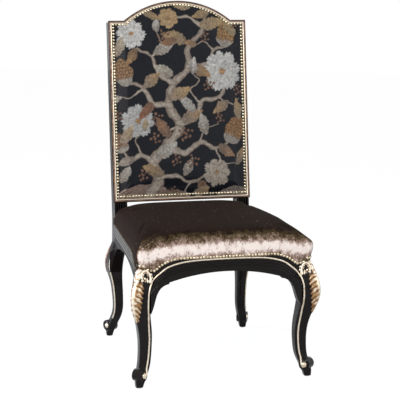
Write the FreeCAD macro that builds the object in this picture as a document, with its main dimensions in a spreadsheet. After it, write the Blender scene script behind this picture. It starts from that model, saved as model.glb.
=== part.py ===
import FreeCAD, Part
import math
import os
import Sketcher
from FreeCAD import Placement, Rotation, Vector

# A high-backed upholstered side chair with cabriole legs.
# The frame stands on z = 0 with +X to the sitter's left, +Y to the rear and +Z up.
# Everything symmetric about the plane x = 0 is built once for each side (+1 and -1).

# Driving dimensions in millimetres, and angles in degrees
SIZES = (
    # Seat frame
    ("frame_top", 430.0, "floor to the top edge of the seat frame"),
    ("front_reach", 332.2, "origin to the front faces of the legs and front rail"),
    ("seat_run", 528.5, "front faces of the legs to the front faces of the back posts"),
    ("front_half_width", 280.0, "middle to the outer corner of a front leg"),
    ("rear_half_width", 237.0, "middle to the outer face of a back post"),
    ("rail_height", 73.0, "height of a seat rail at its middle"),
    ("rail_arch", 27.0, "rise of a rail's underside from its ends to its middle"),
    ("rail_thickness", 24.0, "thickness of every seat rail"),
    ("rear_rail_inset", 4.0, "rear rail set in from the rear faces of the posts"),
    ("leg_block", 52.0, "side of the square block at the top of a front leg"),
    ("corner_round", 20.0, "round on the outer corner of a front leg block"),
    # Cabriole legs
    ("front_toe_shift", 29.0, "outward shift of a front foot from its block"),
    ("rear_toe_shift", 52.0, "outward shift of a rear foot from its post"),
    ("front_splay", 45.0, "direction in which a front leg sweeps, from the X axis"),
    ("rear_splay", 60.0, "direction in which a rear leg sweeps, from the X axis"),
    ("scroll_radius", 19.0, "radius of the rolled toe"),
    ("scroll_height", 39.0, "floor to the centre of the rolled toe"),
    ("scroll_length", 34.0, "length of the rolled toe across the leg"),
    ("eye_radius", 9.5, "radius of the ball at each end of the rolled toe"),
    ("eye_proud", 4.0, "how far the ball stands out of the toe"),
    ("ear_length", 46.0, "length of a knee block under its rail"),
    ("ear_drop", 93.0, "how far a knee block runs down the leg"),
    ("ear_swell", 16.0, "how far a knee block swells out to meet the knee"),
    ("glide_radius", 9.0, "radius of a foot glide"),
    ("glide_thickness", 2.5, "thickness of a foot glide"),
    ("glide_pin_radius", 1.5, "radius of a glide's pin"),
    ("glide_pin_length", 14.0, "length of a glide's pin"),
    # Back frame, measured along the leaning back from the top of the seat frame
    ("back_lean", 8.8, "lean of the back from upright"),
    ("post_width", 44.0, "width of a back post"),
    ("post_depth", 46.0, "depth of a back post"),
    ("panel_bottom", 50.0, "seat frame top to the bottom of the upholstered panel"),
    ("shoulder_height", 661.0, "seat frame top to the shoulders of the panel"),
    ("arch_rise", 66.0, "shoulders of the panel to the top of the arch"),
    ("panel_half_width", 240.0, "middle to the outer edge of the mouldings"),
    ("arch_half_chord", 186.0, "middle to where the arch meets a shoulder"),
    ("crest_end_height", 62.0, "height of the crest rail at its ends"),
    ("lower_rail_height", 60.0, "height of the lower back rail"),
    ("lower_rail_thickness", 24.0, "thickness of the lower back rail"),
    ("moulding_width", 11.0, "width of the gilt mouldings"),
    ("moulding_proud", 6.0, "thickness of the gilt mouldings"),
    ("moulding_round", 2.5, "round on the front edges of the mouldings"),
    ("flute_radius", 2.8, "radius of a flute in a post"),
    ("flute_pitch", 9.5, "spacing of the flutes"),
    ("flute_overrun", 20.0, "how far a flute runs down behind the seat"),
    # Joinery
    ("dowel_radius", 5.0, "radius of every dowel"),
    ("dowel_length", 44.0, "length of every dowel"),
    ("dowel_spacing", 38.0, "spacing of the two dowels of a joint"),
    ("dowel_edge", 20.0, "rail top to the upper dowel"),
    ("dowel_play", 0.15, "clearance round a dowel and at its ends"),
    ("corner_block_reach", 70.0, "length of a corner block along each rail"),
    ("corner_block_height", 50.0, "height of a corner block"),
    ("corner_block_drop", 5.0, "rail top to the top of a corner block"),
    ("screw_radius", 2.5, "radius of a corner block screw"),
    ("screw_grip", 28.0, "how far a screw runs into the leg"),
    ("screw_head_radius", 5.0, "radius of a screw's head"),
    ("screw_head_height", 3.0, "height of a screw's head"),
    # Upholstery
    ("soft_gap", 0.3, "gap between neighbouring layers of upholstery"),
    ("cover_thickness", 2.0, "thickness of the covers"),
    ("wadding_thickness", 8.0, "thickness of the seat wadding"),
    ("hessian_thickness", 1.0, "thickness of the hessian sheets"),
    ("web_width", 54.0, "width of a strip of webbing"),
    ("web_thickness", 1.4, "thickness of a strip of webbing"),
    ("web_lap", 14.0, "how far back webbing laps onto the frame"),
    ("seat_rise", 55.0, "seat frame top to the crown of the seat"),
    ("seat_crown_inset", 190.0, "seat edge to where the crown is level"),
    ("crown_corner_round", 110.0, "largest round of the corners of the crown"),
    ("nail_line", 405.0, "floor to the nails along the middle of a rail"),
    ("nail_line_corner", 386.0, "floor to the nails over a front leg"),
    ("nail_line_dip", 370.0, "floor to the nails where a rail meets a front leg"),
    ("hem_bend", 92.0, "length over which the nail line drops towards a leg"),
    ("nail_margin", 5.0, "edge of a cover to the middle of its nails"),
    ("nail_radius", 4.4, "radius of a nail's domed head"),
    ("nail_dome", 2.6, "height of a nail's domed head"),
    ("nail_pitch", 10.4, "spacing of the nails"),
    ("back_rim", 15.0, "flat edge of a back cover, where it is nailed"),
    ("back_crown", 14.0, "how far the front of the back swells"),
    ("back_sheet_inset", 4.0, "inside of a back cover's rim to the hessian under it"),
    ("rear_crown", 7.0, "how far the rear of the back swells"),
    ("rear_cover_inset", 7.0, "edge of the frame to the edge of the rear cover"),
    ("dust_cover_height", 362.0, "floor to the underside of the dust cover"),
    ("overrun", 20.0, "how far a cutter runs past what it cuts"),
)

# Sections of a leg, from its block to the floor. Each has its height, its outward shift and half
# its side, as shares of the leg's height, of its toe shift and of half its block, and then how far
# its outer, side and inner corners reach, as shares of half its side.
FRONT_LEG_SHARES = (
    (0.880, 0.00, 0.80, 1.00, 1.00, 1.00), (0.850, 0.06, 0.97, 1.03, 0.98, 1.00),
    (0.814, 0.24, 1.03, 1.08, 0.93, 1.00), (0.765, 0.47, 1.09, 1.13, 0.88, 1.00),
    (0.688, 0.76, 1.14, 1.17, 0.84, 1.00), (0.637, 0.80, 1.14, 1.17, 0.84, 1.00),
    (0.563, 0.66, 1.07, 1.12, 0.87, 1.00), (0.481, 0.32, 0.91, 1.05, 0.94, 1.00),
    (0.407, 0.06, 0.82, 1.00, 1.00, 1.00), (0.326, -0.08, 0.76, 1.00, 1.00, 1.00),
    (0.242, -0.05, 0.72, 1.00, 1.00, 1.00), (0.144, 0.20, 0.68, 1.00, 1.00, 1.00),
    (0.105, 0.46, 0.65, 1.00, 1.00, 1.00), (0.063, 0.76, 0.60, 1.00, 1.00, 1.00),
    (0.025, 0.94, 0.49, 1.00, 1.00, 1.00), (0.0, 1.0, 0.42, 1.00, 1.00, 1.00),
)
REAR_LEG_SHARES = (
    (0.815, 0.00, 0.93, 1.00, 1.00, 1.00), (0.786, 0.03, 1.00, 1.00, 1.00, 1.00),
    (0.749, 0.12, 1.10, 1.00, 0.96, 0.94), (0.697, 0.28, 1.20, 1.00, 0.92, 0.88),
    (0.616, 0.46, 1.30, 1.00, 0.88, 0.83), (0.546, 0.44, 1.20, 1.00, 0.86, 0.79),
    (0.477, 0.30, 1.01, 1.00, 0.85, 0.75), (0.384, 0.16, 0.88, 1.00, 0.84, 0.73),
    (0.302, 0.10, 0.82, 1.00, 0.85, 0.73), (0.221, 0.15, 0.79, 1.00, 0.86, 0.73),
    (0.151, 0.41, 0.77, 1.00, 0.86, 0.74), (0.105, 0.64, 0.75, 1.00, 0.87, 0.76),
    (0.063, 0.84, 0.68, 1.00, 0.90, 0.82), (0.025, 0.96, 0.54, 1.00, 0.94, 0.90),
    (0.0, 1.0, 0.45, 1.00, 1.00, 1.00),
)
SECTION_ROUND_SHARE = 0.30
SCROLL_SET_BACK_SHARE = 0.10

# Distance from the leg, drop and swell of the sections of a knee block: shares of its sizes
EAR_SHARES = (
    (1.00, 0.05, 0.02), (0.48, 0.16, 0.06), (0.15, 0.39, 0.25),
    (-0.07, 0.72, 0.56), (-0.20, 0.89, 0.75), (-0.33, 1.00, 1.00),
)
EAR_SLOPE = 1.6

# Height and inset of the sections of the seat's crown: shares of its rise and crown inset
SEAT_CROWN_SHARES = (
    (-0.22, 0.0), (0.00, -0.016), (0.14, -0.022), (0.32, -0.012), (0.50, 0.025), (0.66, 0.085),
    (0.79, 0.20), (0.90, 0.42), (0.97, 0.70), (1.00, 1.00),
)
CORNER_SOFTENING_SHARE = 2.5
CORNER_LIMIT_SHARE = 0.85

# Swell and inset of the sections of the back's crown: shares of its crown and its half width
BACK_CROWN_SHARES = ((0.0, 0.0), (0.42, 0.008), (0.72, 0.045), (0.88, 0.12), (0.97, 0.26), (1.0, 0.44))

# Middle points of the two bends of the nail line: shares of each bend's length and height
HEM_BOW_SHARES = (0.62, 0.30)
SWAG_SHARES = (0.45, 0.28)

# Places of a crest dowel across a post: shares of the post's width
CREST_DOWEL_SHARES = (0.3, 0.7)

SEAT_STRIPS = 5
BACK_STRIPS_ACROSS = 6
BACK_STRIPS_UPRIGHT = 4
FLUTES = 4
CORNER_NAILS = 3

os.makedirs("parts", exist_ok=True)
doc = FreeCAD.newDocument("chair")
sheet = doc.addObject("Spreadsheet::Sheet", "sizes")
for row, (alias, number, note) in enumerate(SIZES, start=1):
    sheet.set("A%d" % row, alias)
    sheet.set("B%d" % row, str(number))
    sheet.setAlias("B%d" % row, alias)
    sheet.set("C%d" % row, note)
doc.recompute()


class Length:
    """A size with its value and the expression that binds it to the sheet."""

    def __init__(self, value, text):
        self.value = float(value)
        self.text = text

    def __float__(self):
        return self.value

    def __neg__(self):
        return Length(-self.value, "(0 - %s)" % self.text)

    def __add__(self, other):
        return Length(self.value + float(other), "(%s + %s)" % (self.text, text_of(other)))

    def __radd__(self, other):
        return Length(float(other) + self.value, "(%s + %s)" % (text_of(other), self.text))

    def __sub__(self, other):
        return Length(self.value - float(other), "(%s - %s)" % (self.text, text_of(other)))

    def __rsub__(self, other):
        return Length(float(other) - self.value, "(%s - %s)" % (text_of(other), self.text))

    def __mul__(self, other):
        return Length(self.value * float(other), "(%s * %s)" % (self.text, text_of(other)))

    def __rmul__(self, other):
        return self * other

    def __truediv__(self, other):
        return Length(self.value / float(other), "(%s / %s)" % (self.text, text_of(other)))


def text_of(item):
    """The expression of a size, or the digits of a plain number."""
    if isinstance(item, Length):
        return item.text
    return "(%s)" % repr(float(item))


def sine(angle):
    """Sine of an angle of the sheet."""
    return Length(math.sin(math.radians(float(angle))), "sin(%s * 1 deg)" % angle.text)


def cosine(angle):
    """Cosine of an angle of the sheet."""
    return Length(math.cos(math.radians(float(angle))), "cos(%s * 1 deg)" % angle.text)


def root(square):
    """Square root of an area."""
    return Length(math.sqrt(float(square)), "sqrt(%s)" % square.text)


class Sizes:
    """The driving dimensions of the sheet, under their aliases."""


d = Sizes()
for alias, number, note in SIZES:
    setattr(d, alias, Length(getattr(sheet, alias), "sizes.%s" % alias))

# Sizes that follow from the driving ones
front_y = -d.front_reach
post_y = d.seat_run - d.front_reach
post_rear_y = post_y + d.post_depth
leg_inner_x = d.front_half_width - d.leg_block
leg_rear_y = front_y + d.leg_block
post_inner_x = d.rear_half_width - d.post_width
side_slope = (d.rear_half_width - d.front_half_width) / d.seat_run
side_stretch = root(side_slope * side_slope + 1)
rail_end_height = d.rail_height + d.rail_arch
rail_end_z = d.frame_top - rail_end_height
front_rail_rear_y = front_y + d.rail_thickness
rear_rail_rear_y = post_rear_y - d.rear_rail_inset
rear_rail_front_y = rear_rail_rear_y - d.rail_thickness
cover_skin = d.soft_gap + d.cover_thickness
moulding_overhang = d.panel_half_width - d.rear_half_width
frame_shoulder = d.shoulder_height - moulding_overhang
crest_bottom = d.shoulder_height - d.crest_end_height
lower_rail_top = d.panel_bottom + d.lower_rail_height
panel_top = d.shoulder_height + d.arch_rise
arch_radius = (d.arch_half_chord * d.arch_half_chord + d.arch_rise * d.arch_rise) / (d.arch_rise * 2)
arch_centre = panel_top - arch_radius
SIDES = (("left", -1), ("right", 1))
made = []


def side_x(y):
    """Outer face of a side rail at a distance y from the origin."""
    return d.front_half_width + (y + d.front_reach) * side_slope


def side_inner_x(y):
    """Inner face of a side rail at a distance y from the origin."""
    return side_x(y) - d.rail_thickness * side_stretch


def arch_half_width(inset):
    """Middle to where an arch inset from the panel's edge meets its shoulder."""
    radius = arch_radius - inset
    height = d.shoulder_height - inset - arch_centre
    return root(radius * radius - height * height)


def lean(thing):
    """Stand a piece that was drawn upright on the leaning back."""
    thing.Placement = Placement(
        Vector(0, float(post_y), float(d.frame_top)), Rotation(Vector(-1, 0, 0), float(d.back_lean))
    )
    thing.setExpression("Placement.Base.y", post_y.text)
    thing.setExpression("Placement.Base.z", d.frame_top.text)
    thing.setExpression("Placement.Rotation.Angle", "%s * 1 deg" % d.back_lean.text)


def keep(thing, label):
    """Name a finished piece; its label is its node's name."""
    thing.Label = label
    made.append(thing)
    return thing


def shaped(label, shape):
    """A finished piece, or a cutter, whose shape is made here."""
    thing = doc.addObject("Part::Feature", label)
    thing.Shape = shape
    return thing


# Bodies drawn in sketches

def body_plane(body, role):
    """One of a body's own origin planes."""
    return [plane for plane in body.Origin.OriginFeatures if plane.Role == role][0]


def pin(sketch, index, end, x, y):
    """Hold a point of a sketch at a place worked out from the sheet."""
    for kind, place in (("DistanceX", x), ("DistanceY", y)):
        number = sketch.addConstraint(Sketcher.Constraint(kind, -1, 1, index, end, float(place)))
        if isinstance(place, Length):
            sketch.setExpression("Constraints[%d]" % number, place.text)


def draw(body, name, role, corners, bows, offset):
    """A closed outline; bows gives the point through which the arc that follows a corner runs."""
    sketch = body.newObject("Sketcher::SketchObject", name)
    sketch.AttachmentSupport = [(body_plane(body, role), "")]
    sketch.MapMode = "FlatFace"
    sketch.setExpression("AttachmentOffset.Base.z", offset.text)
    points = [Vector(float(x), float(y), 0) for x, y in corners]
    sides = []
    for i, first in enumerate(points):
        last = points[(i + 1) % len(points)]
        if i in bows:
            via = Vector(float(bows[i][0]), float(bows[i][1]), 0)
            index = sketch.addGeometry(Part.Arc(first, via, last))
        else:
            index = sketch.addGeometry(Part.LineSegment(first, last))
        ends = [sketch.getPoint(index, end).distanceToPoint(first) for end in (1, 2)]
        sides.append((index, 1, 2) if ends[0] < ends[1] else (index, 2, 1))
    for i, (index, start, end) in enumerate(sides):
        following = sides[(i + 1) % len(sides)]
        sketch.addConstraint(Sketcher.Constraint("Coincident", index, end, following[0], following[1]))
        pin(sketch, index, start, corners[i][0], corners[i][1])
        if i in bows:
            point = sketch.addGeometry(Part.Point(Vector(float(bows[i][0]), float(bows[i][1]), 0)), True)
            pin(sketch, point, 1, bows[i][0], bows[i][1])
            sketch.addConstraint(Sketcher.Constraint("PointOnObject", point, 1, index))
    return sketch


def pad(name, role, corners, low, high, bows=None):
    """A body of one outline, from low to high along the axis that stands on its plane."""
    body = doc.addObject("PartDesign::Body", name)
    offset = -high if role == "XZ_Plane" else low
    sketch = draw(body, name + "_outline", role, corners, bows or {}, offset)
    feature = body.newObject("PartDesign::Pad", name + "_pad")
    feature.Profile = sketch
    feature.setExpression("Length", (high - low).text)
    return body


def pocket(body, name, role, corners, bows=None):
    """Cut an outline right through a body, both ways from the plane that it is drawn on."""
    sketch = draw(body, name + "_outline", role, corners, bows or {}, d.overrun * 0)
    feature = body.newObject("PartDesign::Pocket", name)
    feature.Profile = sketch
    feature.SideType = "Symmetric"
    feature.setExpression("Length", (d.seat_run * 2).text)
    return feature


def soften(body, name, on_edge, radius):
    """Round the edges of a body that a test picks."""
    doc.recompute()
    base = body.Tip
    picked = ["Edge%d" % (i + 1) for i, edge in enumerate(base.Shape.Edges) if on_edge(edge)]
    fillet = body.newObject("PartDesign::Fillet", name)
    fillet.Base = (base, picked)
    fillet.setExpression("Radius", radius.text)
    return fillet


# Dowels, screws and their holes

def peg(name, place, along, radius, length):
    """A round pin from a place along one of the axes X, Y or Z."""
    pin_shape = doc.addObject("Part::Cylinder", name)
    turn = {"X": Rotation(Vector(0, 1, 0), 90), "Y": Rotation(Vector(-1, 0, 0), 90), "Z": Rotation()}[along]
    pin_shape.Placement = Placement(Vector(*[float(part) for part in place]), turn)
    for axis, part in zip("xyz", place):
        if isinstance(part, Length):
            pin_shape.setExpression("Placement.Base.%s" % axis, part.text)
    pin_shape.setExpression("Radius", radius.text)
    pin_shape.setExpression("Height", length.text)
    return pin_shape


def dowel(name, centre, along):
    """A dowel and the hole it sits in, both centred on a joint."""
    hole_length = d.dowel_length + d.dowel_play * 2
    start = dict(zip("XYZ", centre))
    hole_start = dict(start)
    start[along] = start[along] - d.dowel_length / 2
    hole_start[along] = hole_start[along] - hole_length / 2
    solid = peg(name, [start[axis] for axis in "XYZ"], along, d.dowel_radius, d.dowel_length)
    hole_place = [hole_start[axis] for axis in "XYZ"]
    hole = peg(name + "_hole", hole_place, along, d.dowel_radius + d.dowel_play, hole_length)
    return solid, hole


def group(name, things):
    """Several solids in one object."""
    bundle = doc.addObject("Part::Compound", name)
    bundle.Links = things
    return bundle


def less(name, base, tool):
    """A piece with something cut from it."""
    result = doc.addObject("Part::Cut", name)
    result.Base = base
    result.Tool = tool
    return result


def make_dowels():
    """The dowels of the seat frame and of the back frame, with their holes."""
    seat = []
    back = []
    heights = (d.frame_top - d.dowel_edge, d.frame_top - d.dowel_edge - d.dowel_spacing)
    front_rail_y = front_y + d.rail_thickness / 2
    rear_rail_y = rear_rail_rear_y - d.rail_thickness / 2
    for side, sign in SIDES:
        for i, z in enumerate(heights):
            front_x = side_inner_x(leg_rear_y) / 2 + side_x(leg_rear_y) / 2
            rear_x = side_inner_x(post_y) / 2 + side_x(post_y) / 2
            seat.append(dowel("front_%s_dowel_%d" % (side, i), (leg_inner_x * sign, front_rail_y, z), "X"))
            seat.append(dowel("side_front_%s_dowel_%d" % (side, i), (front_x * sign, leg_rear_y, z), "Y"))
            seat.append(dowel("side_rear_%s_dowel_%d" % (side, i), (rear_x * sign, post_y, z), "Y"))
            seat.append(dowel("rear_%s_dowel_%d" % (side, i), (post_inner_x * sign, rear_rail_y, z), "X"))
        lower_y = d.lower_rail_thickness / 2
        for i, z in enumerate((d.panel_bottom + d.dowel_edge, lower_rail_top - d.dowel_edge)):
            back.append(dowel("lower_%s_dowel_%d" % (side, i), (post_inner_x * sign, lower_y, z), "X"))
        for i, share in enumerate(CREST_DOWEL_SHARES):
            x = post_inner_x + d.post_width * share
            centre = (x * sign, d.post_depth / 2, crest_bottom)
            back.append(dowel("crest_%s_dowel_%d" % (side, i), centre, "Z"))
    keep(group("rail_dowels", [solid for solid, hole in seat]), "rail_dowels")
    back_pegs = keep(group("back_rail_dowels", [solid for solid, hole in back]), "back_rail_dowels")
    seat_holes = group("seat_dowel_holes", [hole for solid, hole in seat])
    back_holes = group("back_dowel_holes", [hole for solid, hole in back])
    lean(back_pegs)
    lean(back_holes)
    return seat_holes, back_holes


# Seat frame

def make_front_and_rear_rails(seat_holes):
    """The arched front rail and the straight rear rail."""
    half = leg_inner_x
    arch_end = leg_inner_x - d.ear_length
    corners = [
        (-half, rail_end_z), (-arch_end, rail_end_z), (arch_end, rail_end_z), (half, rail_end_z),
        (half, d.frame_top), (-half, d.frame_top),
    ]
    bows = {1: (d.rail_height * 0, rail_end_z + d.rail_arch)}
    front = pad("front_rail_blank", "XZ_Plane", corners, front_y, front_rail_rear_y, bows)
    keep(less("front_rail_drilled", front, seat_holes), "front_seat_rail")
    half = post_inner_x
    low = d.frame_top - d.rail_height
    corners = [(-half, low), (half, low), (half, d.frame_top), (-half, d.frame_top)]
    rear = pad("rear_rail_blank", "XZ_Plane", corners, rear_rail_front_y, rear_rail_rear_y)
    keep(less("rear_rail_drilled", rear, seat_holes), "rear_seat_rail")


def make_side_rail(side, sign, seat_holes):
    """A side rail: angled in plan, with an arched underside between its knee blocks."""
    plan = [
        (side_inner_x(leg_rear_y) * sign, leg_rear_y), (side_x(leg_rear_y) * sign, leg_rear_y),
        (side_x(post_y) * sign, post_y), (side_inner_x(post_y) * sign, post_y),
    ]
    body = pad("side_rail_blank_" + side, "XY_Plane", plan, rail_end_z, d.frame_top)
    start = leg_rear_y + d.ear_length
    end = post_y - d.ear_length
    under = rail_end_z - d.overrun
    corners = [(start, under), (start, rail_end_z), (end, rail_end_z), (end, under)]
    bows = {1: (start / 2 + end / 2, rail_end_z + d.rail_arch)}
    pocket(body, "side_rail_arch_" + side, "YZ_Plane", corners, bows)
    keep(less("side_rail_drilled_" + side, body, seat_holes), "side_seat_rail_" + side)


def corner_block_faces():
    """Plan corners of the front and rear corner blocks on the +X side."""
    front_reach_y = leg_rear_y + d.corner_block_reach
    rear_reach_y = post_y - d.corner_block_reach
    front = [
        (leg_inner_x, front_rail_rear_y), (leg_inner_x - d.corner_block_reach, front_rail_rear_y),
        (side_inner_x(front_reach_y), front_reach_y), (side_inner_x(leg_rear_y), leg_rear_y),
        (leg_inner_x, leg_rear_y),
    ]
    rear = [
        (post_inner_x, rear_rail_front_y), (post_inner_x - d.corner_block_reach, rear_rail_front_y),
        (side_inner_x(rear_reach_y), rear_reach_y), (side_inner_x(post_y), post_y),
        (post_inner_x, post_y),
    ]
    return {"front": front, "rear": rear}


def make_corner_blocks():
    """The four blocks glued and screwed into the corners of the seat frame."""
    high = d.frame_top - d.corner_block_drop
    screws = []
    holes = []
    middles = {
        "front": (d.front_half_width - d.leg_block / 2, front_y + d.leg_block / 2),
        "rear": (d.rear_half_width - d.post_width / 2, post_y + d.post_depth / 2),
    }
    blocks = []
    for end, faces in corner_block_faces().items():
        for side, sign in SIDES:
            plan = [(x * sign, y) for x, y in faces]
            name = "corner_block_%s_%s" % (end, side)
            blocks.append((name, pad(name + "_blank", "XY_Plane", plan, high - d.corner_block_height, high)))
            screw, hole = corner_screw(faces, middles[end], sign, float(high - d.corner_block_height / 2))
            screws.append(screw)
            holes.append(hole)
    screw_holes = shaped("screw_holes", Part.makeCompound(holes))
    for name, blank in blocks:
        keep(less(name + "_drilled", blank, screw_holes), name)
    keep(shaped("screws", Part.makeCompound(screws)), "corner_block_screws")
    return screw_holes


def corner_screw(faces, aim, sign, z):
    """A screw from the free face of a corner block into its leg, and its hole."""
    start = Vector(float(faces[1][0] + faces[2][0]) / 2 * sign, float(faces[1][1] + faces[2][1]) / 2, z)
    heel = Vector(float(faces[4][0]) * sign, float(faces[4][1]), z)
    along = Vector(float(aim[0]) * sign, float(aim[1]), z) - start
    along.normalize()
    length = start.distanceToPoint(heel) + float(d.screw_grip)
    play = float(d.dowel_play)
    shank = Part.makeCylinder(float(d.screw_radius), length, start, along)
    head_height = float(d.screw_head_height)
    head = Part.makeCylinder(float(d.screw_head_radius), head_height, start - along * head_height, along)
    hole_start = start - along * float(d.overrun)
    hole = Part.makeCylinder(
        float(d.screw_radius) + play, length + play + float(d.overrun), hole_start, along
    )
    return shank.fuse(head).removeSplitter(), hole


# Legs

def rounded_loop(points, radii):
    """A closed wire of straight sides with a round at each corner."""
    edges = []
    rounds = []
    for i, point in enumerate(points):
        back = points[i - 1] - point
        ahead = points[(i + 1) % len(points)] - point
        back.normalize()
        ahead.normalize()
        half = back.getAngle(ahead) / 2
        bisector = back + ahead
        bisector.normalize()
        reach = radii[i] / math.tan(half)
        middle = point + bisector * (radii[i] / math.sin(half) - radii[i])
        rounds.append((point + back * reach, middle, point + ahead * reach))
    for i, (start, middle, end) in enumerate(rounds):
        edges.append(Part.Arc(start, middle, end).toShape())
        edges.append(Part.LineSegment(end, rounds[(i + 1) % len(rounds)][0]).toShape())
    return Part.Wire(edges)


def leg_section(middle, half, outward, outer, side, inner):
    """A rounded section of a leg: a square whose outer, side and inner corners reach differently."""
    points = []
    for corner_x, corner_y in ((-1, -1), (1, -1), (1, 1), (-1, 1)):
        faces_out = [corner_x * outward.x > 0, corner_y * outward.y > 0]
        reach = half * (outer if all(faces_out) else side if any(faces_out) else inner)
        points.append(middle + Vector(corner_x * reach, corner_y * reach, 0))
    return rounded_loop(points, [half * SECTION_ROUND_SHARE] * 4)


def swept_leg(x, y, shares, shift, outward, half_block):
    """The curved leg with its rolled toe, from inside its block down to its glide."""
    low = float(d.glide_thickness)
    height = float(d.frame_top) - low
    sections = []
    for height_share, shift_share, half_share, outer, side, inner in shares:
        place = Vector(x, y, low + height * height_share) + outward * (shift * shift_share)
        sections.append(leg_section(place, half_block * half_share, outward, outer, side, inner))
    leg = Part.makeLoft(sections[::-1], True, False)
    across = Vector(outward.y, -outward.x, 0)
    middle = Vector(x, y, float(d.scroll_height)) + outward * (shift * (1 - SCROLL_SET_BACK_SHARE))
    half_length = float(d.scroll_length) / 2
    radius = float(d.scroll_radius)
    parts = [Part.makeCylinder(radius, half_length * 2, middle - across * half_length, across)]
    for hand in (-1, 1):
        set_in = half_length + float(d.eye_proud) - float(d.eye_radius)
        parts.append(Part.makeSphere(float(d.eye_radius), middle + across * (hand * set_in)))
    toe = Vector(x, y, 0) + outward * shift
    hole = Part.makeCylinder(
        float(d.glide_pin_radius + d.dowel_play), float(d.glide_pin_length + d.glide_thickness), toe
    )
    return leg.fuse(parts).cut(hole), toe


def outward_of(angle, sign_x, sign_y):
    """Unit vector in plan of a leg's sweep."""
    return Vector(float(cosine(angle)) * sign_x, float(sine(angle)) * sign_y, 0)


def make_front_leg(side, sign, holes):
    """A front leg: square block, knee, slim ankle and rolled toe."""
    x = float(d.front_half_width - d.leg_block / 2) * sign
    y = float(front_y + d.leg_block / 2)
    outward = outward_of(d.front_splay, sign, -1)
    half = float(d.leg_block) / 2
    curved, toe = swept_leg(x, y, FRONT_LEG_SHARES, float(d.front_toe_shift), outward, half)
    low = float(rail_end_z)
    plan = [
        Vector(float(leg_inner_x) * sign, float(front_y), low),
        Vector(float(d.front_half_width) * sign, float(front_y), low),
        Vector(float(side_x(leg_rear_y)) * sign, float(leg_rear_y), low),
        Vector(float(leg_inner_x) * sign, float(leg_rear_y), low),
    ]
    block = Part.Face(Part.makePolygon(plan + plan[:1])).extrude(Vector(0, 0, float(rail_end_height)))
    corner = [edge for edge in block.Edges if upright_at(edge, plan[1])]
    block = block.makeFillet(float(d.corner_round), corner)
    leg = shaped("front_leg_blank_" + side, curved.fuse(block))
    keep(less("front_leg_drilled_" + side, leg, holes), "front_leg_" + side)
    return curved, toe


def upright_at(edge, point):
    """Whether an edge stands upright over a point."""
    near = float(d.soft_gap)
    ends = [vertex.Point for vertex in edge.Vertexes]
    return all(math.hypot(end.x - point.x, end.y - point.y) < near for end in ends)


def make_back_post(side, sign, holes, flutes):
    """A rear leg and its leaning, fluted post in one piece."""
    x = float(d.rear_half_width - d.post_width / 2) * sign
    y = float(post_y + d.post_depth / 2)
    outward = outward_of(d.rear_splay, sign, 1)
    half = float(d.post_depth) / 2
    curved, toe = swept_leg(x, y, REAR_LEG_SHARES, float(d.rear_toe_shift), outward, half)
    leg = shaped("rear_leg_" + side, curved)
    rise = crest_bottom * cosine(d.back_lean)
    run = crest_bottom * sine(d.back_lean)
    bend = d.post_depth * sine(d.back_lean / 2) / cosine(d.back_lean / 2)
    elevation = [
        (post_y, rail_end_z), (post_rear_y, rail_end_z), (post_rear_y, d.frame_top - bend),
        (post_y + run + d.post_depth * cosine(d.back_lean),
         d.frame_top + rise - d.post_depth * sine(d.back_lean)),
        (post_y + run, d.frame_top + rise), (post_y, d.frame_top),
    ]
    low = post_inner_x if sign > 0 else -d.rear_half_width
    stile = pad("stile_" + side, "YZ_Plane", elevation, low, low + d.post_width)
    whole = doc.addObject("Part::MultiFuse", "post_blank_" + side)
    whole.Shapes = [stile, leg]
    fluted = less("post_fluted_" + side, whole, flutes)
    keep(less("post_drilled_" + side, fluted, holes), "back_post_" + side)
    return curved, toe


def make_flutes():
    """Cutters for the flutes on the front faces of both posts, below the panel."""
    cutters = []
    middle = d.rear_half_width - d.post_width / 2
    for side, sign in SIDES:
        for i in range(FLUTES):
            x = (middle + d.flute_pitch * (i - (FLUTES - 1) / 2)) * sign
            name = "flute_%s_%d" % (side, i)
            place = (x, d.flute_radius * 0, -d.flute_overrun)
            cutters.append(peg(name, place, "Z", d.flute_radius, d.panel_bottom + d.flute_overrun))
    flutes = group("flutes", cutters)
    lean(flutes)
    return flutes


def make_knee_block(name, place_of, leg_shape):
    """A block under a rail's end; place_of gives the four plan corners at a distance from the leg."""
    sections = []
    for distance_share, drop_share, swell_share in EAR_SHARES:
        distance = float(d.ear_length) * distance_share
        swell = float(d.ear_swell) * swell_share
        high = float(rail_end_z)
        low = high - float(d.ear_drop) * drop_share
        inner, outer = place_of(distance, swell)
        face = place_of(distance, 0.0)[1]
        slope = high - float(d.soft_gap) - swell * EAR_SLOPE
        corners = [
            Vector(inner[0], inner[1], low), Vector(outer[0], outer[1], low),
            Vector(outer[0], outer[1], slope), Vector(face[0], face[1], high),
            Vector(inner[0], inner[1], high),
        ]
        sections.append(Part.makePolygon(corners + corners[:1]))
    block = Part.makeLoft(sections, True, False).cut(leg_shape)
    largest = max(block.Solids, key=lambda solid: solid.Volume)
    keep(shaped(name + "_shape", largest), name)


def make_knee_blocks(side, sign, front_leg, rear_leg):
    """The three knee blocks on one side of the chair."""
    thickness = float(d.rail_thickness)

    def under_front_rail(distance, swell):
        x = (float(leg_inner_x) - distance) * sign
        return (x, float(front_y) + thickness), (x, float(front_y) - swell)

    def under_side_rail_front(distance, swell):
        y = float(leg_rear_y) + distance
        x = float(side_x(y))
        return ((x - thickness) * sign, y), ((x + swell) * sign, y)

    def under_side_rail_rear(distance, swell):
        y = float(post_y) - distance
        x = float(side_x(y))
        return ((x - thickness) * sign, y), ((x + swell) * sign, y)

    make_knee_block("knee_block_front_" + side, under_front_rail, front_leg)
    make_knee_block("knee_block_side_front_" + side, under_side_rail_front, front_leg)
    make_knee_block("knee_block_side_rear_" + side, under_side_rail_rear, rear_leg)


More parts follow.
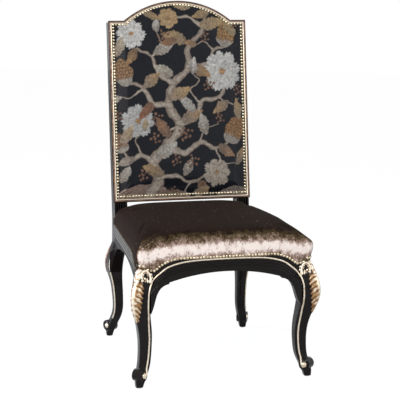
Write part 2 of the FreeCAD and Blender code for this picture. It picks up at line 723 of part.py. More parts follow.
def make_glides(toes):
    """A glide with its pin under each foot."""
    glides = []
    for toe in toes:
        disc = Part.makeCylinder(float(d.glide_radius), float(d.glide_thickness), toe)
        shank = Part.makeCylinder(float(d.glide_pin_radius), float(d.glide_pin_length), toe)
        glides.append(disc.fuse(shank).removeSplitter())
    keep(shaped("glides", Part.makeCompound(glides)), "foot_glides")


# Back frame, drawn upright and then leant back

def make_back_rails(back_holes):
    """The arched crest rail and the straight rail under the upholstery."""
    half = d.rear_half_width
    arch_end = arch_half_width(moulding_overhang)
    middle = half * 0
    top = panel_top - moulding_overhang
    corners = [
        (-half, crest_bottom), (half, crest_bottom), (half, frame_shoulder), (arch_end, frame_shoulder),
        (-arch_end, frame_shoulder), (-half, frame_shoulder),
    ]
    crest = pad("crest_blank", "XZ_Plane", corners, middle, d.post_depth, {3: (middle, top)})
    lean(crest)
    keep(less("crest_drilled", crest, back_holes), "crest_rail")
    half = post_inner_x
    low = d.panel_bottom
    corners = [(-half, low), (half, low), (half, lower_rail_top), (-half, lower_rail_top)]
    lower = pad("lower_rail_blank", "XZ_Plane", corners, middle, d.lower_rail_thickness)
    lean(lower)
    keep(less("lower_rail_drilled", lower, back_holes), "lower_back_rail")


def make_mouldings():
    """The gilt mouldings round the front of the back frame."""
    outer = d.panel_half_width
    inner = d.panel_half_width - d.moulding_width
    middle = outer * 0
    front = -d.moulding_proud
    low = d.panel_bottom
    inner_low = low + d.moulding_width
    high = d.shoulder_height
    inner_high = high - d.moulding_width
    arch_end = arch_half_width(middle)
    inner_arch_end = arch_half_width(d.moulding_width)

    def on_front(edge):
        return all(abs(vertex.Point.y - float(front)) < float(d.soft_gap) for vertex in edge.Vertexes)

    def moulding(label, corners, bows):
        body = pad(label + "_body", "XZ_Plane", corners, front, middle, bows)
        soften(body, label + "_round", on_front, d.moulding_round)
        lean(body)
        keep(body, label)

    for side, sign in SIDES:
        corners = [(outer * sign, low), (outer * sign, high), (inner * sign, high), (inner * sign, low)]
        moulding("back_moulding_" + side, corners, {})
    corners = [(-inner, low), (inner, low), (inner, inner_low), (-inner, inner_low)]
    moulding("back_moulding_bottom", corners, {})
    corners = [
        (inner, inner_high), (inner, high), (arch_end, high), (-arch_end, high), (-inner, high),
        (-inner, inner_high), (-inner_arch_end, inner_high), (inner_arch_end, inner_high),
    ]
    bows = {2: (middle, panel_top), 6: (middle, panel_top - d.moulding_width)}
    moulding("back_moulding_top", corners, bows)


# Seat upholstery

def seat_loop(z, inset, skin):
    """A level section of the seat, inset from its edge and a skin inside its outer surface."""
    grow = float(cover_skin) - inset - skin
    front = float(front_y) - grow
    rear = float(rear_rail_rear_y) + grow
    corners = []
    for y in (front, rear):
        half = float(side_x(y)) + grow
        corners.append((half, y))
    points = [
        Vector(-corners[0][0], front, z), Vector(corners[0][0], front, z),
        Vector(corners[1][0], rear, z), Vector(-corners[1][0], rear, z),
    ]
    radius = float(d.corner_round + cover_skin) - skin + CORNER_SOFTENING_SHARE * max(inset, 0)
    radius = min(radius, float(d.crown_corner_round), corners[1][0] * CORNER_LIMIT_SHARE)
    return rounded_loop(points, [radius] * 4)


def seat_dome(low, skin):
    """The solid under the seat's crown, a skin inside the outer surface, down to a level."""
    rise = float(d.seat_rise)
    crown_inset = float(d.seat_crown_inset)
    sections = []
    for rise_share, inset_share in SEAT_CROWN_SHARES:
        z = float(d.frame_top) + rise * rise_share - skin
        sections.append(seat_loop(z, crown_inset * inset_share, skin))
    crown = Part.makeLoft(sections, True, True)
    base = sections[0].BoundBox.ZMin
    if low < base:
        skirt = Part.Face(sections[0]).extrude(Vector(0, 0, low - base))
        return crown.fuse(skirt).removeSplitter()
    width = float(d.front_half_width + d.overrun)
    depth = float(d.seat_run + d.overrun)
    below = Part.makeBox(
        width * 2, depth * 2, low - base + float(d.overrun), Vector(-width, -depth, base - float(d.overrun))
    )
    return crown.cut(below)


def post_notches(gap):
    """Room in the seat for both posts."""
    width = float(d.post_width + d.overrun)
    depth = float(d.post_depth + d.overrun)
    height = float(d.frame_top)
    notches = []
    for side, sign in SIDES:
        inner = float(post_inner_x) - gap
        low_x = inner if sign > 0 else -inner - width
        notches.append(Part.makeBox(width, depth, height, Vector(low_x, float(post_y) - gap, height / 2)))
    return notches


def front_hem():
    """The nail line over the front rail and legs, seen from the front, as a wire."""
    level = float(d.nail_line)
    dip_x = float(leg_inner_x)
    dip = float(d.nail_line_dip)
    corner = float(d.nail_line_corner)
    bend = dip_x - float(d.hem_bend)
    outer = float(d.front_half_width)
    edges = []
    for sign in (-1, 1):
        bow_x = bend + float(d.hem_bend) * HEM_BOW_SHARES[0]
        bow = Vector(bow_x * sign, 0, level - (level - dip) * HEM_BOW_SHARES[1])
        drop = Part.Arc(Vector(bend * sign, 0, level), bow, Vector(dip_x * sign, 0, dip)).toShape()
        swag = Vector(
            (dip_x + (outer - dip_x) * SWAG_SHARES[0]) * sign, 0, dip + (corner - dip) * SWAG_SHARES[1]
        )
        rise = Part.Arc(Vector(dip_x * sign, 0, dip), swag, Vector(outer * sign, 0, corner)).toShape()
        edges.extend([drop, rise])
    edges.append(Part.makeLine(Vector(-bend, 0, level), Vector(bend, 0, level)))
    return Part.Wire(Part.__sortEdges__(edges))


def side_hem():
    """The nail line over a side rail and its front leg, seen from the side, as a wire."""
    level = float(d.nail_line)
    dip_y = float(leg_rear_y)
    dip = float(d.nail_line_dip)
    corner = float(d.nail_line_corner)
    bend = dip_y + float(d.hem_bend)
    start = float(front_y)
    bow_y = bend - float(d.hem_bend) * HEM_BOW_SHARES[0]
    bow = Vector(0, bow_y, level - (level - dip) * HEM_BOW_SHARES[1])
    swag = Vector(0, dip_y + (start - dip_y) * SWAG_SHARES[0], dip + (corner - dip) * SWAG_SHARES[1])
    edges = [
        Part.Arc(Vector(0, start, corner), swag, Vector(0, dip_y, dip)).toShape(),
        Part.Arc(Vector(0, dip_y, dip), bow, Vector(0, bend, level)).toShape(),
        Part.makeLine(Vector(0, bend, level), Vector(0, float(post_y), level)),
    ]
    return Part.Wire(Part.__sortEdges__(edges))


def below_hem(wire, along, start, length):
    """Everything below a nail line by the margin of its nails, as a cutter."""
    margin = float(d.nail_margin)
    line = wire.copy()
    line.translate(Vector(0, 0, -margin))
    first = line.OrderedVertexes[0].Point
    last = line.OrderedVertexes[-1].Point
    floor = float(rail_end_z) - float(d.overrun)
    corners = [last, Vector(last.x, last.y, floor), Vector(first.x, first.y, floor), first]
    face = Part.Face(Part.Wire(line.Edges + Part.makePolygon(corners).Edges))
    face.translate(along * start)
    return face.extrude(along * length)


def make_seat_cover():
    """The velvet cover: crowned, drawn in at the nails and open underneath."""
    low = float(rail_end_z)
    outer = seat_dome(low, 0)
    inner = seat_dome(low - float(d.overrun), float(d.cover_thickness))
    cover = outer.cut(inner).cut(post_notches(float(d.soft_gap)))
    run = float(d.overrun)
    wide = float(d.front_half_width) + run
    corner_z = float(d.nail_line_corner - d.nail_margin)
    flat_z = float(d.nail_line - d.nail_margin)
    cutters = [below_hem(front_hem(), Vector(0, 1, 0), float(front_y) - run, run + run / 2)]
    for sign in (-1, 1):
        inner_x = float(post_inner_x)
        cutters.append(below_hem(side_hem(), Vector(sign, 0, 0), inner_x, wide - inner_x))
        x = float(d.front_half_width) * sign
        low_x = min(x, x + run * sign)
        place = Vector(low_x, float(front_y) - run, low - run)
        cutters.append(Part.makeBox(run, run * 2, corner_z - low + run, place))
    rear = Part.makeBox(wide * 2, run * 4, flat_z - low + run, Vector(-wide, float(post_y), low - run))
    cover = cover.cut(cutters + [rear])
    keep(shaped("seat_cover_shape", max(cover.Solids, key=lambda solid: solid.Volume)), "seat_cover")


def make_seat_filling():
    """Foam and wadding under the seat cover, resting on the hessian."""
    gap = float(d.soft_gap)
    notches = post_notches(gap * 2)
    low = float(webbing_top(d.frame_top) + d.hessian_thickness + d.soft_gap * 2)
    skin = float(d.cover_thickness) + gap
    wadding_outer = seat_dome(low, skin)
    skin = skin + float(d.wadding_thickness)
    wadding_inner = seat_dome(low - float(d.overrun), skin)
    foam = seat_dome(low, skin + gap)
    keep(shaped("foam_shape", foam.cut(notches)), "seat_foam")
    wadding = wadding_outer.cut(wadding_inner).cut(notches)
    keep(shaped("wadding_shape", max(wadding.Solids, key=lambda solid: solid.Volume)), "seat_wadding")


def webbing_top(base):
    """Top of two crossed layers of webbing that lie on a level."""
    return base + d.web_thickness * 2 + d.soft_gap * 2


def strip(start, end, crossings, high_ones, base, place):
    """A woven strip from start to end; place turns a distance and a height into a point."""
    thick = float(d.web_thickness)
    low = base + float(d.soft_gap)
    high = low + thick + float(d.soft_gap)
    half = float(d.web_width) / 2 + thick
    levels = [(start, low)]
    for crossing, raised in zip(crossings, high_ones):
        level = high if raised else low
        levels.append((crossing - half, level))
        levels.append((crossing + half, level))
    levels.append((end, low))
    bottom = [place(distance, level) for distance, level in levels]
    top = [place(distance, level + thick) for distance, level in reversed(levels)]
    return Part.Face(Part.makePolygon(bottom + top + bottom[:1]))


def spread(count, low, high):
    """Evenly spaced middles of strips between two ends."""
    return [low + (high - low) * (i + 1 / 2) / count for i in range(count)]


def make_seat_webbing():
    """Strips of webbing woven across the top of the seat frame."""
    width = float(d.web_width)
    base = float(d.frame_top)
    lap = float(d.web_lap)
    front = float(front_rail_rear_y)
    rear = float(rear_rail_front_y)
    rows = spread(SEAT_STRIPS, front, rear)
    columns = spread(SEAT_STRIPS, -float(side_inner_x(post_y)), float(side_inner_x(post_y)))
    along = []
    for i, x in enumerate(columns):
        raised = [(i + j) % 2 == 1 for j in range(len(rows))]
        face = strip(front - lap, rear + lap, rows, raised, base, lambda y, z: Vector(x - width / 2, y, z))
        along.append(face.extrude(Vector(width, 0, 0)))
    across = []
    for j, y in enumerate(rows):
        raised = [(i + j) % 2 == 0 for i in range(len(columns))]
        reach = float(side_inner_x(y + width / 2)) + lap
        face = strip(-reach, reach, columns, raised, base, lambda x, z: Vector(x, y - width / 2, z))
        across.append(face.extrude(Vector(0, width, 0)))
    keep(shaped("lengthwise_strips", Part.makeCompound(along)), "seat_webbing_lengthwise")
    keep(shaped("crosswise_strips", Part.makeCompound(across)), "seat_webbing_crosswise")


def make_seat_sheets():
    """The hessian over the webbing and the dust cover under the seat."""
    gap = d.soft_gap
    front = front_y + d.web_lap / 2
    rear = rear_rail_rear_y - d.web_lap / 2
    notch_y = post_y - gap
    notch_x = post_inner_x - gap
    edge = d.web_lap / 2
    right = [
        (side_x(front) - d.corner_round, front),
        (side_x(front + d.corner_round) - edge, front + d.corner_round),
        (side_x(notch_y) - edge, notch_y), (notch_x, notch_y), (notch_x, rear),
    ]
    corners = right + [(-x, y) for x, y in reversed(right)]
    low = webbing_top(d.frame_top) + gap
    keep(pad("hessian_body", "XY_Plane", corners, low, low + d.hessian_thickness), "seat_hessian")
    right = [
        (leg_inner_x - gap, front_rail_rear_y + gap), (leg_inner_x - gap, leg_rear_y + gap),
        (side_inner_x(leg_rear_y + gap) - gap, leg_rear_y + gap), (side_inner_x(notch_y) - gap, notch_y),
        (notch_x, notch_y), (notch_x, rear_rail_front_y - gap),
    ]
    corners = right + [(-x, y) for x, y in reversed(right)]
    low = d.dust_cover_height
    keep(pad("dust_cover_body", "XY_Plane", corners, low, low + d.hessian_thickness), "seat_dust_cover")


# Back upholstery, in the upright frame of the back: X across, Y from front to rear, Z up

def panel_loop(inset, y):
    """The outline of the panel inset from the outer edge of its mouldings."""
    half = float(d.panel_half_width) - inset
    low = float(d.panel_bottom) + inset
    high = float(d.shoulder_height) - inset
    arch_end = float(arch_half_width(inset))
    top = Vector(0, y, float(panel_top) - inset)
    right = [Vector(half, y, low), Vector(half, y, high), Vector(arch_end, y, high)]
    left = [Vector(-point.x, y, point.z) for point in right]
    edges = [Part.makeLine(left[0], right[0]), Part.makeLine(right[0], right[1])]
    edges.append(Part.makeLine(right[1], right[2]))
    edges.append(Part.Arc(right[2], top, left[2]).toShape())
    edges.append(Part.makeLine(left[2], left[1]))
    edges.append(Part.makeLine(left[1], left[0]))
    return Part.Wire(edges)


def panel_dome(inset, start, swell, direction):
    """A crowned solid on a level, swelling forwards (-1) or rearwards (+1)."""
    sections = []
    for swell_share, inset_share in BACK_CROWN_SHARES:
        y = start + direction * swell * swell_share
        sections.append(panel_loop(inset + inset_share * float(d.panel_half_width), y))
    return Part.makeLoft(sections, True, True)


def panel_plate(inset, start, thickness, direction):
    """A flat sheet with the outline of the panel."""
    return Part.Face(panel_loop(inset, start)).extrude(Vector(0, thickness * direction, 0))


def make_back_cover(label, inset, face, swell, direction):
    """A cover with a flat nailed rim and a crowned middle, hollow for its filling."""
    gap = float(d.soft_gap)
    thick = float(d.cover_thickness)
    start = face + gap * direction
    rim = panel_plate(inset, start, thick, direction)
    hollow_inset = inset + float(d.back_rim)
    swelling = panel_dome(hollow_inset - thick, start, swell, direction)
    hollow = panel_dome(hollow_inset, start, swell - thick, direction)
    keep(shaped(label + "_shape", rim.fuse(swelling).cut(hollow)), label)
    return start + thick * direction


def make_back_upholstery():
    """Webbing, hessian, foam and covers of the back, and the padding of its rear."""
    gap = float(d.soft_gap)
    inset = float(d.moulding_width) + gap
    kept = len(made)
    base = 0.0
    make_back_webbing(base)
    low = -float(webbing_top(d.soft_gap * 0) + d.soft_gap)
    hollow_inset = inset + float(d.back_rim)
    sheet_inset = hollow_inset + float(d.back_sheet_inset)
    hessian = panel_plate(sheet_inset, low, float(d.hessian_thickness), -1)
    keep(shaped("back_hessian_shape", hessian), "back_hessian")
    low = low - float(d.hessian_thickness) - gap
    swell = float(d.back_crown - d.cover_thickness) - gap
    foam = panel_dome(hollow_inset + gap * 2, -gap, swell, -1)
    foam = foam.cut(panel_plate(inset, low, float(d.overrun), 1))
    keep(shaped("back_foam_shape", foam), "back_foam")
    front_level = make_back_cover("back_cover_front", inset, 0.0, float(d.back_crown), -1)
    rear = float(d.post_depth)
    rear_inset = float(d.rear_cover_inset + moulding_overhang)
    rear_level = make_back_cover("back_cover_rear", rear_inset, rear, float(d.rear_crown), 1)
    wadding_inset = rear_inset + float(d.back_rim) + gap * 2
    wadding = panel_dome(wadding_inset, rear + gap, float(d.rear_crown - d.cover_thickness) - gap * 2, 1)
    keep(shaped("rear_wadding_shape", wadding), "back_wadding_rear")
    make_back_nails("back_nails_front", inset, front_level, -1)
    make_back_nails("back_nails_rear", rear_inset, rear_level, 1)
    for thing in made[kept:]:
        lean(thing)


def make_back_webbing(base):
    """Strips of webbing woven across the front of the back frame."""
    width = float(d.web_width)
    lap = float(d.web_lap)
    low = float(lower_rail_top)
    high = float(crest_bottom)
    side = float(post_inner_x)
    rows = spread(BACK_STRIPS_ACROSS, low, high)
    columns = spread(BACK_STRIPS_UPRIGHT, -side, side)
    upright = []
    for i, x in enumerate(columns):
        raised = [(i + j) % 2 == 1 for j in range(len(rows))]
        face = strip(low - lap, high + lap, rows, raised, base, lambda z, y: Vector(x - width / 2, -y, z))
        upright.append(face.extrude(Vector(width, 0, 0)))
    across = []
    for j, z in enumerate(rows):
        raised = [(i + j) % 2 == 0 for i in range(len(columns))]
        low_z = z - width / 2
        face = strip(-side - lap, side + lap, columns, raised, base, lambda x, y: Vector(x, -y, low_z))
        across.append(face.extrude(Vector(0, 0, width)))
    keep(shaped("upright_strips", Part.makeCompound(upright)), "back_webbing_upright")
    keep(shaped("cross_strips", Part.makeCompound(across)), "back_webbing_crosswise")


# Nails

def nail(place, outward):
    """The domed head of a nail, flat on the cover."""
    dome = float(d.nail_dome)
    radius = float(d.nail_radius)
    sphere_radius = (radius * radius + dome * dome) / (dome * 2)
    sink = sphere_radius - dome
    low = math.degrees(math.asin(sink / sphere_radius))
    return Part.makeSphere(sphere_radius, place - outward * sink, outward, low, 90, 360)


def stations(wire, ends):
    """Evenly spaced points along a wire, with or without its two ends."""
    count = max(2, round(wire.Length / float(d.nail_pitch)))
    points = wire.discretize(Number=count + 1)
    return points if ends else points[:-1]


def make_back_nails(label, inset, level, direction):
    """A row of nails round a back cover."""
    outward = Vector(0, direction, 0)
    loop = panel_loop(inset + float(d.nail_margin), level)
    nails = []
    for edge in loop.Edges:
        nails.extend(nail(point, outward) for point in stations(Part.Wire([edge]), False))
    keep(shaped(label + "_shape", Part.makeCompound(nails)), label)


def make_seat_nails():
    """The row of nails along the lower edge of the seat cover."""
    skin = float(cover_skin)
    pitch = float(d.nail_pitch)
    rounded = float(d.corner_round)
    front = float(front_y)
    side_turn = math.atan(float(side_slope))
    nails = []
    for point in stations(front_hem(), True):
        if abs(point.x) < float(d.front_half_width) - rounded:
            nails.append(nail(Vector(point.x, front - skin, point.z), Vector(0, -1, 0)))
    rear = float(rear_rail_rear_y) + skin
    half = float(post_inner_x) - pitch
    rear_line = Part.makeLine(Vector(-half, rear, 0), Vector(half, rear, 0))
    for point in rear_line.discretize(Number=round(half * 2 / pitch)):
        nails.append(nail(Vector(point.x, rear, float(d.nail_line)), Vector(0, 1, 0)))
    for side, sign in SIDES:
        outward = Vector(math.cos(side_turn) * sign, -math.sin(side_turn), 0)
        for point in stations(side_hem(), True):
            if front + rounded < point.y < float(post_y) - pitch / 2:
                place = Vector(float(side_x(point.y)) * sign, point.y, point.z)
                nails.append(nail(place + outward * skin, outward))
        centre_x = float(side_x(front + rounded)) - rounded * float(side_stretch)
        centre = Vector(centre_x * sign, front + rounded, float(d.nail_line_corner))
        for i in range(CORNER_NAILS):
            turn = math.radians(90) * (i + 1 / 2) / CORNER_NAILS
            outward = Vector(math.sin(turn) * sign, -math.cos(turn), 0)
            nails.append(nail(centre + outward * (rounded + skin), outward))
    keep(shaped("seat_nails_shape", Part.makeCompound(nails)), "seat_nails")


def build():
    """Every piece of the chair."""
    seat_holes, back_holes = make_dowels()
    screw_holes = make_corner_blocks()
    holes = group("frame_holes", [seat_holes, back_holes, screw_holes])
    flutes = make_flutes()
    make_front_and_rear_rails(seat_holes)
    toes = []
    for side, sign in SIDES:
        make_side_rail(side, sign, seat_holes)
        front_leg, front_toe = make_front_leg(side, sign, holes)
        rear_leg, rear_toe = make_back_post(side, sign, holes, flutes)
        make_knee_blocks(side, sign, front_leg, rear_leg)
        toes.extend([front_toe, rear_toe])
    make_glides(toes)
    make_back_rails(back_holes)
    make_mouldings()
    make_seat_webbing()
    make_seat_sheets()
    make_seat_filling()
    make_seat_cover()
    make_seat_nails()
    make_back_upholstery()


def write_parts():
    """Check every object, and write each finished piece to its own file."""
    doc.recompute()
    for thing in doc.Objects:
        if "Invalid" in thing.State or "Error" in thing.State:
            raise RuntimeError("%s failed: %s" % (thing.Label, thing.State))
    for thing in made:
        if thing.Shape.isNull() or not thing.Shape.isValid() or not thing.Shape.Solids:
            raise RuntimeError("%s has no valid solid" % thing.Label)
    for thing in made:
        thing.Shape.exportStep("parts/%s.step" % thing.Label)


build()
write_parts()
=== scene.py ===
"""Finishes a high-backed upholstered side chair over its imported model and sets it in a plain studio."""
import math

import bmesh
import bpy
import numpy as np
from bpy.props import FloatProperty, FloatVectorProperty, IntProperty, PointerProperty
from mathutils import Matrix, Vector
from mathutils.bvhtree import BVHTree


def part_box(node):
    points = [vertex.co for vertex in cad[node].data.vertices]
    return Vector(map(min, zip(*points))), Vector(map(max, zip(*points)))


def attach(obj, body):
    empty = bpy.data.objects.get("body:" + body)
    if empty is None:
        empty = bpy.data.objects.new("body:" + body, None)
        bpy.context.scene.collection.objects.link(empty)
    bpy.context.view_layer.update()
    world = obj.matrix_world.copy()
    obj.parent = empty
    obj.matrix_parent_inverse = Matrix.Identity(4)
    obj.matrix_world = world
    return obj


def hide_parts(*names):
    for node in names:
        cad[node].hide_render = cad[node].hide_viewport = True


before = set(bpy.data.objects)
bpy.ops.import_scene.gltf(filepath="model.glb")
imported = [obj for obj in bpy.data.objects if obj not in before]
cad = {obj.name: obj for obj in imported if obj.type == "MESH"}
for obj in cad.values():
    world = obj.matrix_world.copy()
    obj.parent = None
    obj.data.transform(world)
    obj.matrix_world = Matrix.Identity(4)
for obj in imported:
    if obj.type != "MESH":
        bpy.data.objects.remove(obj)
BODY = "root"
MM = 0.001
AHEAD = Vector((0, 1, 0))
SIDES = (("left", -1), ("right", 1))
GILT = "gilt_moulding"

bl_info = {
    "name": "Upholstered Side Chair",
    "version": (1, 0, 0),
    "blender": (4, 5, 0),
    "location": "3D View > Sidebar > Chair",
    "description": "Finishes and studio for an upholstered side chair on cabriole legs",
    "category": "Object",
}

# Main sizes of the frame, in metres, as they are in the part's source
FRAME_TOP = 0.430
FRONT_Y = -0.3322
POST_Y = 0.1963
FRONT_HALF = 0.280
REAR_HALF = 0.237
LEG_INNER_X = 0.228
LEG_REAR_Y = FRONT_Y + 0.052
REAR_RAIL_Y = POST_Y + 0.042
POST_INNER_X = 0.193
SKIN = 0.0023
BACK_LEAN = math.radians(8.8)
PANEL_LOW = 0.050
SHOULDER = 0.661
PANEL_TOP = 0.727
PANEL_HALF = 0.240
ARCH_CHORD = 0.186
ARCH_RISE = PANEL_TOP - SHOULDER
ARCH_RADIUS = (ARCH_CHORD ** 2 + ARCH_RISE ** 2) / (2 * ARCH_RISE)
ARCH_CENTRE = PANEL_TOP - ARCH_RADIUS
FRONT_LEG = (0.254, -0.3062)
REAR_LEG = (0.215, 0.2193)
FRONT_TOE = 0.029
REAR_TOE = 0.052
FRONT_SPLAY = math.radians(45)
REAR_SPLAY = math.radians(60)

# The nail line: level, where it meets a leg, and over a leg's corner
HEM_LEVEL = 0.405
HEM_DIP = 0.370
HEM_CORNER = 0.386
HEM_BEND = 0.092
HEM_MARGIN = 0.005

# Height and inset of the seat's outside, as shares of its rise and of its crown's inset
SEAT_SECTION = (
    (-0.22, 0.0), (0.00, -0.016), (0.14, -0.022), (0.32, -0.012), (0.50, 0.025), (0.66, 0.085),
    (0.79, 0.20), (0.90, 0.42), (0.97, 0.70), (1.00, 1.00),
)

# Gilt bead on the front rail and knees, and the underside below it: x and z in millimetres
BEAD_LINE = (
    (0, 397.5), (50, 397), (100, 395.5), (140, 391.5), (182, 380.5), (210, 362.5), (237, 337), (249, 306),
)
UNDER_LINE = ((0, 357), (50, 355), (95, 350.5), (130, 346), (160, 339.5), (183, 331), (206, 316), (226, 286))

# How far a leg's middle has swept out from its block: height and shift in millimetres
FRONT_SWEEP = (
    (400, 0), (366, 1.7), (350, 7), (330, 13.6), (297, 22), (275, 23), (243, 19), (208, 9), (176, 2),
    (100, 0),
)
REAR_SWEEP = (
    (400, 0), (351, 0), (339, 1.6), (323, 6.2), (301, 14.6), (266, 24), (236, 23), (207, 15.6), (167, 8),
    (100, 5),
)
# Middle of a leg's block, its sweep, which way it faces and how far it has swept at each height
FRONT_KNEE = (FRONT_LEG, FRONT_SPLAY, -1, FRONT_SWEEP)
REAR_KNEE = (REAR_LEG, REAR_SPLAY, 1, REAR_SWEEP)


def linear(colour):
    """A hex colour in sRGB as linear RGBA."""
    parts = [int(colour[i:i + 2], 16) / 255 for i in (1, 3, 5)]
    parts = [c / 12.92 if c <= 0.04045 else ((c + 0.055) / 1.055) ** 2.4 for c in parts]
    return (*parts, 1.0)


def add(tree, kind, settings=(), inputs=()):
    """A node with its settings, and its sockets set to values or linked to other nodes."""
    node = tree.nodes.new(kind)
    for name, value in dict(settings).items():
        if name != "stops":
            setattr(node, name, value)
            continue
        ramp = node.color_ramp.elements
        while len(ramp) < len(value):
            ramp.new(0.5)
        for element, (place, colour) in zip(ramp, value):
            element.position = place
            element.color = linear(colour) if isinstance(colour, str) else (*colour[:3], 1.0)
    for name, value in dict(inputs).items():
        if isinstance(value, bpy.types.NodeSocket):
            tree.links.new(value, node.inputs[name])
        else:
            node.inputs[name].default_value = value
    return node


class Finish:
    """A material under way: each call adds nodes and gives their output."""

    def __init__(self, name):
        self.material = bpy.data.materials.new(name)
        self.material.use_nodes = True
        self.tree = self.material.node_tree
        self.tree.nodes.clear()

    def put(self, kind, settings, inputs, output=0):
        return add(self.tree, kind, settings, inputs).outputs[output]

    def point(self, scale=(1, 1, 1), turn=(0, 0, 0)):
        """Object coordinates in metres, turned and scaled."""
        place = self.put("ShaderNodeTexCoord", {}, {}, "Object")
        return self.put("ShaderNodeMapping", {}, {"Vector": place, "Rotation": turn, "Scale": scale})

    def mark(self, name, output="Fac"):
        """A value that is kept on the mesh's points."""
        return self.put("ShaderNodeAttribute", {"attribute_name": name}, {}, output)

    def noise(self, vector, scale=1.0, detail=2.0, rough=0.5):
        return self.put("ShaderNodeTexNoise", {}, {
            "Vector": vector, "Scale": scale, "Detail": detail, "Roughness": rough,
        }, "Fac")

    def cells(self, scale):
        return self.put("ShaderNodeTexVoronoi", {}, {"Vector": self.point(), "Scale": scale}, "Distance")

    def wave(self, vector, way, scale, bend, detail=2.0):
        return self.put("ShaderNodeTexWave", {"bands_direction": way}, {
            "Vector": vector, "Scale": scale, "Distortion": bend, "Detail": detail,
        }, "Fac")

    def ramp(self, value, *stops):
        return self.put("ShaderNodeValToRGB", {"stops": stops}, {"Fac": value})

    def spread(self, value, low, high, start=0.0, end=1.0, kind="LINEAR"):
        """A value that runs from start to end, made to run from low to high."""
        return self.put("ShaderNodeMapRange", {"interpolation_type": kind}, {
            "Value": value, "From Min": start, "From Max": end, "To Min": low, "To Max": high,
        })

    def blend(self, share, one, other, kind="MIX"):
        colours = {"Fac": share, "Color1": one, "Color2": other}
        return self.put("ShaderNodeMixRGB", {"blend_type": kind}, colours)

    def times(self, one, other):
        return self.put("ShaderNodeMath", {"operation": "MULTIPLY"}, {0: one, 1: other})

    def times_plus(self, one, other, more):
        return self.put("ShaderNodeMath", {"operation": "MULTIPLY_ADD"}, {0: one, 1: other, 2: more})

    def bump(self, height, strength, distance):
        return self.put("ShaderNodeBump", {}, {"Height": height, "Strength": strength, "Distance": distance})

    def skin(self, colour, rough, bump=None, **more):
        """End in a principled shader. The rest are its inputs, with low lines for blanks."""
        inputs = {name.replace("_", " "): value for name, value in more.items()}
        inputs.update({"Base Color": colour, "Roughness": rough})
        if bump is not None:
            inputs["Normal"] = self.bump(*bump)
        return self.close(add(self.tree, "ShaderNodeBsdfPrincipled", {}, inputs))

    def close(self, shader):
        add(self.tree, "ShaderNodeOutputMaterial", inputs={"Surface": shader.outputs[0]})
        return self.material


# Finishes

def ebonised_beech(looks, name="ebonised_beech_polished", coat=0.26, shine=0.08):
    """Beech stained black and french polished, with more or less wax over it.

    A close smooth film over very dark wood: near black with sharp soft-edged lights, and a faint
    brown where handling has thinned the stain."""
    f = Finish(name)
    # Pores of beech are 1 to 2 mm long and show only as a faint unevenness under the polish
    pores = f.noise(f.point((420, 420, 60)), detail=3.0, rough=0.6)
    cloud = f.noise(f.point(), 22.0, 4.0, 0.55)
    black = tuple(looks.ebony)
    colour = f.ramp(cloud, (0.30, black), (0.62, black), (0.86, tuple(looks.ebony_worn)))
    return f.skin(
        colour, f.spread(cloud, 0.16, 0.30, 0.3, 0.75), (pores, 0.05, 0.0004),
        IOR=1.5, Specular_IOR_Level=shine, Coat_Weight=coat, Coat_Roughness=0.07,
    )


def bare_beech():
    """Beech left from the plane inside the frame: straight pale grain with short dark flecks."""
    f = Finish("bare_beech_planed")
    # Flecks about 1 mm wide and 5 mm long, growth bands about 4 mm apart
    flecks = f.noise(f.point((200, 900, 900)), detail=4.0)
    bands = f.wave(f.point((20, 110, 110)), "Y", 1.0, 4.0)
    colour = f.ramp(f.times(flecks, bands), (0.05, "#8f6a44"), (0.30, "#c39a6b"), (0.60, "#d6b488"))
    return f.skin(colour, 0.62, (flecks, 0.2, 0.0005), IOR=1.5)


def water_gilding(looks):
    """Gold leaf laid over dark bole on carved wood, rubbed and toned.

    Bright champagne on what stands proud, and brown bole where the leaf is thin or toned down: in rubbed
    patches, and in the carving's hollows, where the darkening is partly toning and partly painted shade."""
    f = Finish("gold_leaf_over_bole")
    # Rubbing in patches of 6 to 15 mm, and a broken grain of about 1.5 mm
    patches = f.noise(f.point(), 90.0, 5.0, 0.65)
    grain = f.noise(f.point(), 640.0)
    # The tone mark darkens low places towards the bole: toning, and painted shade in the hollows
    height = f.times_plus(grain, 0.16, f.times_plus(patches, 0.55, f.mark("relief")))
    leaf = f.spread(height, 0.0, 1.0, 0.30, 0.78, "SMOOTHSTEP")
    colour = f.ramp(
        leaf, (0.0, tuple(looks.bole)), (0.45, tuple(looks.gilt_toned)), (0.85, tuple(looks.gilt)),
    )
    return f.skin(
        colour, f.spread(leaf, 0.55, 0.34), (height, 0.25, 0.0006), Metallic=f.spread(leaf, 0.25, 0.88),
    )


def bronze_gilding(looks):
    """Bronze powder paint in varnish on the outer reed: duller and pinker than leaf."""
    f = Finish("bronze_paint_varnished")
    patches = f.noise(f.point(), 60.0, 5.0, 0.7)
    colour = f.ramp(
        patches, (0.25, tuple(looks.bole)), (0.50, tuple(looks.bronze)), (0.80, tuple(looks.gilt_toned)),
    )
    return f.skin(colour, 0.42, (f.noise(f.point(), 700.0), 0.25, 0.0004), Metallic=0.55)


def nail_brass(looks):
    """Spun brass nail heads, lacquered: pale and bright, and dark where their tone mark is low, as on the
    seat's sides.
    """
    f = Finish("brass_lacquered")
    age = f.noise(f.point(), 130.0, 3.0)
    colour = f.ramp(age, (0.30, "#8d7a58"), (0.55, tuple(looks.brass)), (0.80, "#f3e8cd"))
    # A low tone mark darkens a head towards dark brown
    mixed = {0: f.mark("relief"), 6: linear("#2c241a"), 7: colour}
    worn = f.put("ShaderNodeMix", {"data_type": "RGBA"}, mixed, 2)
    return f.skin(worn, f.spread(age, 0.30, 0.16), Metallic=1.0)


def zinc_steel():
    """Zinc plated steel of the glides and screws: dull grey with a fine spangle."""
    f = Finish("zinc_plated_steel")
    return f.skin(f.blend(f.cells(700.0), linear("#8f9296"), linear("#b9bcbe")), 0.38, Metallic=1.0)


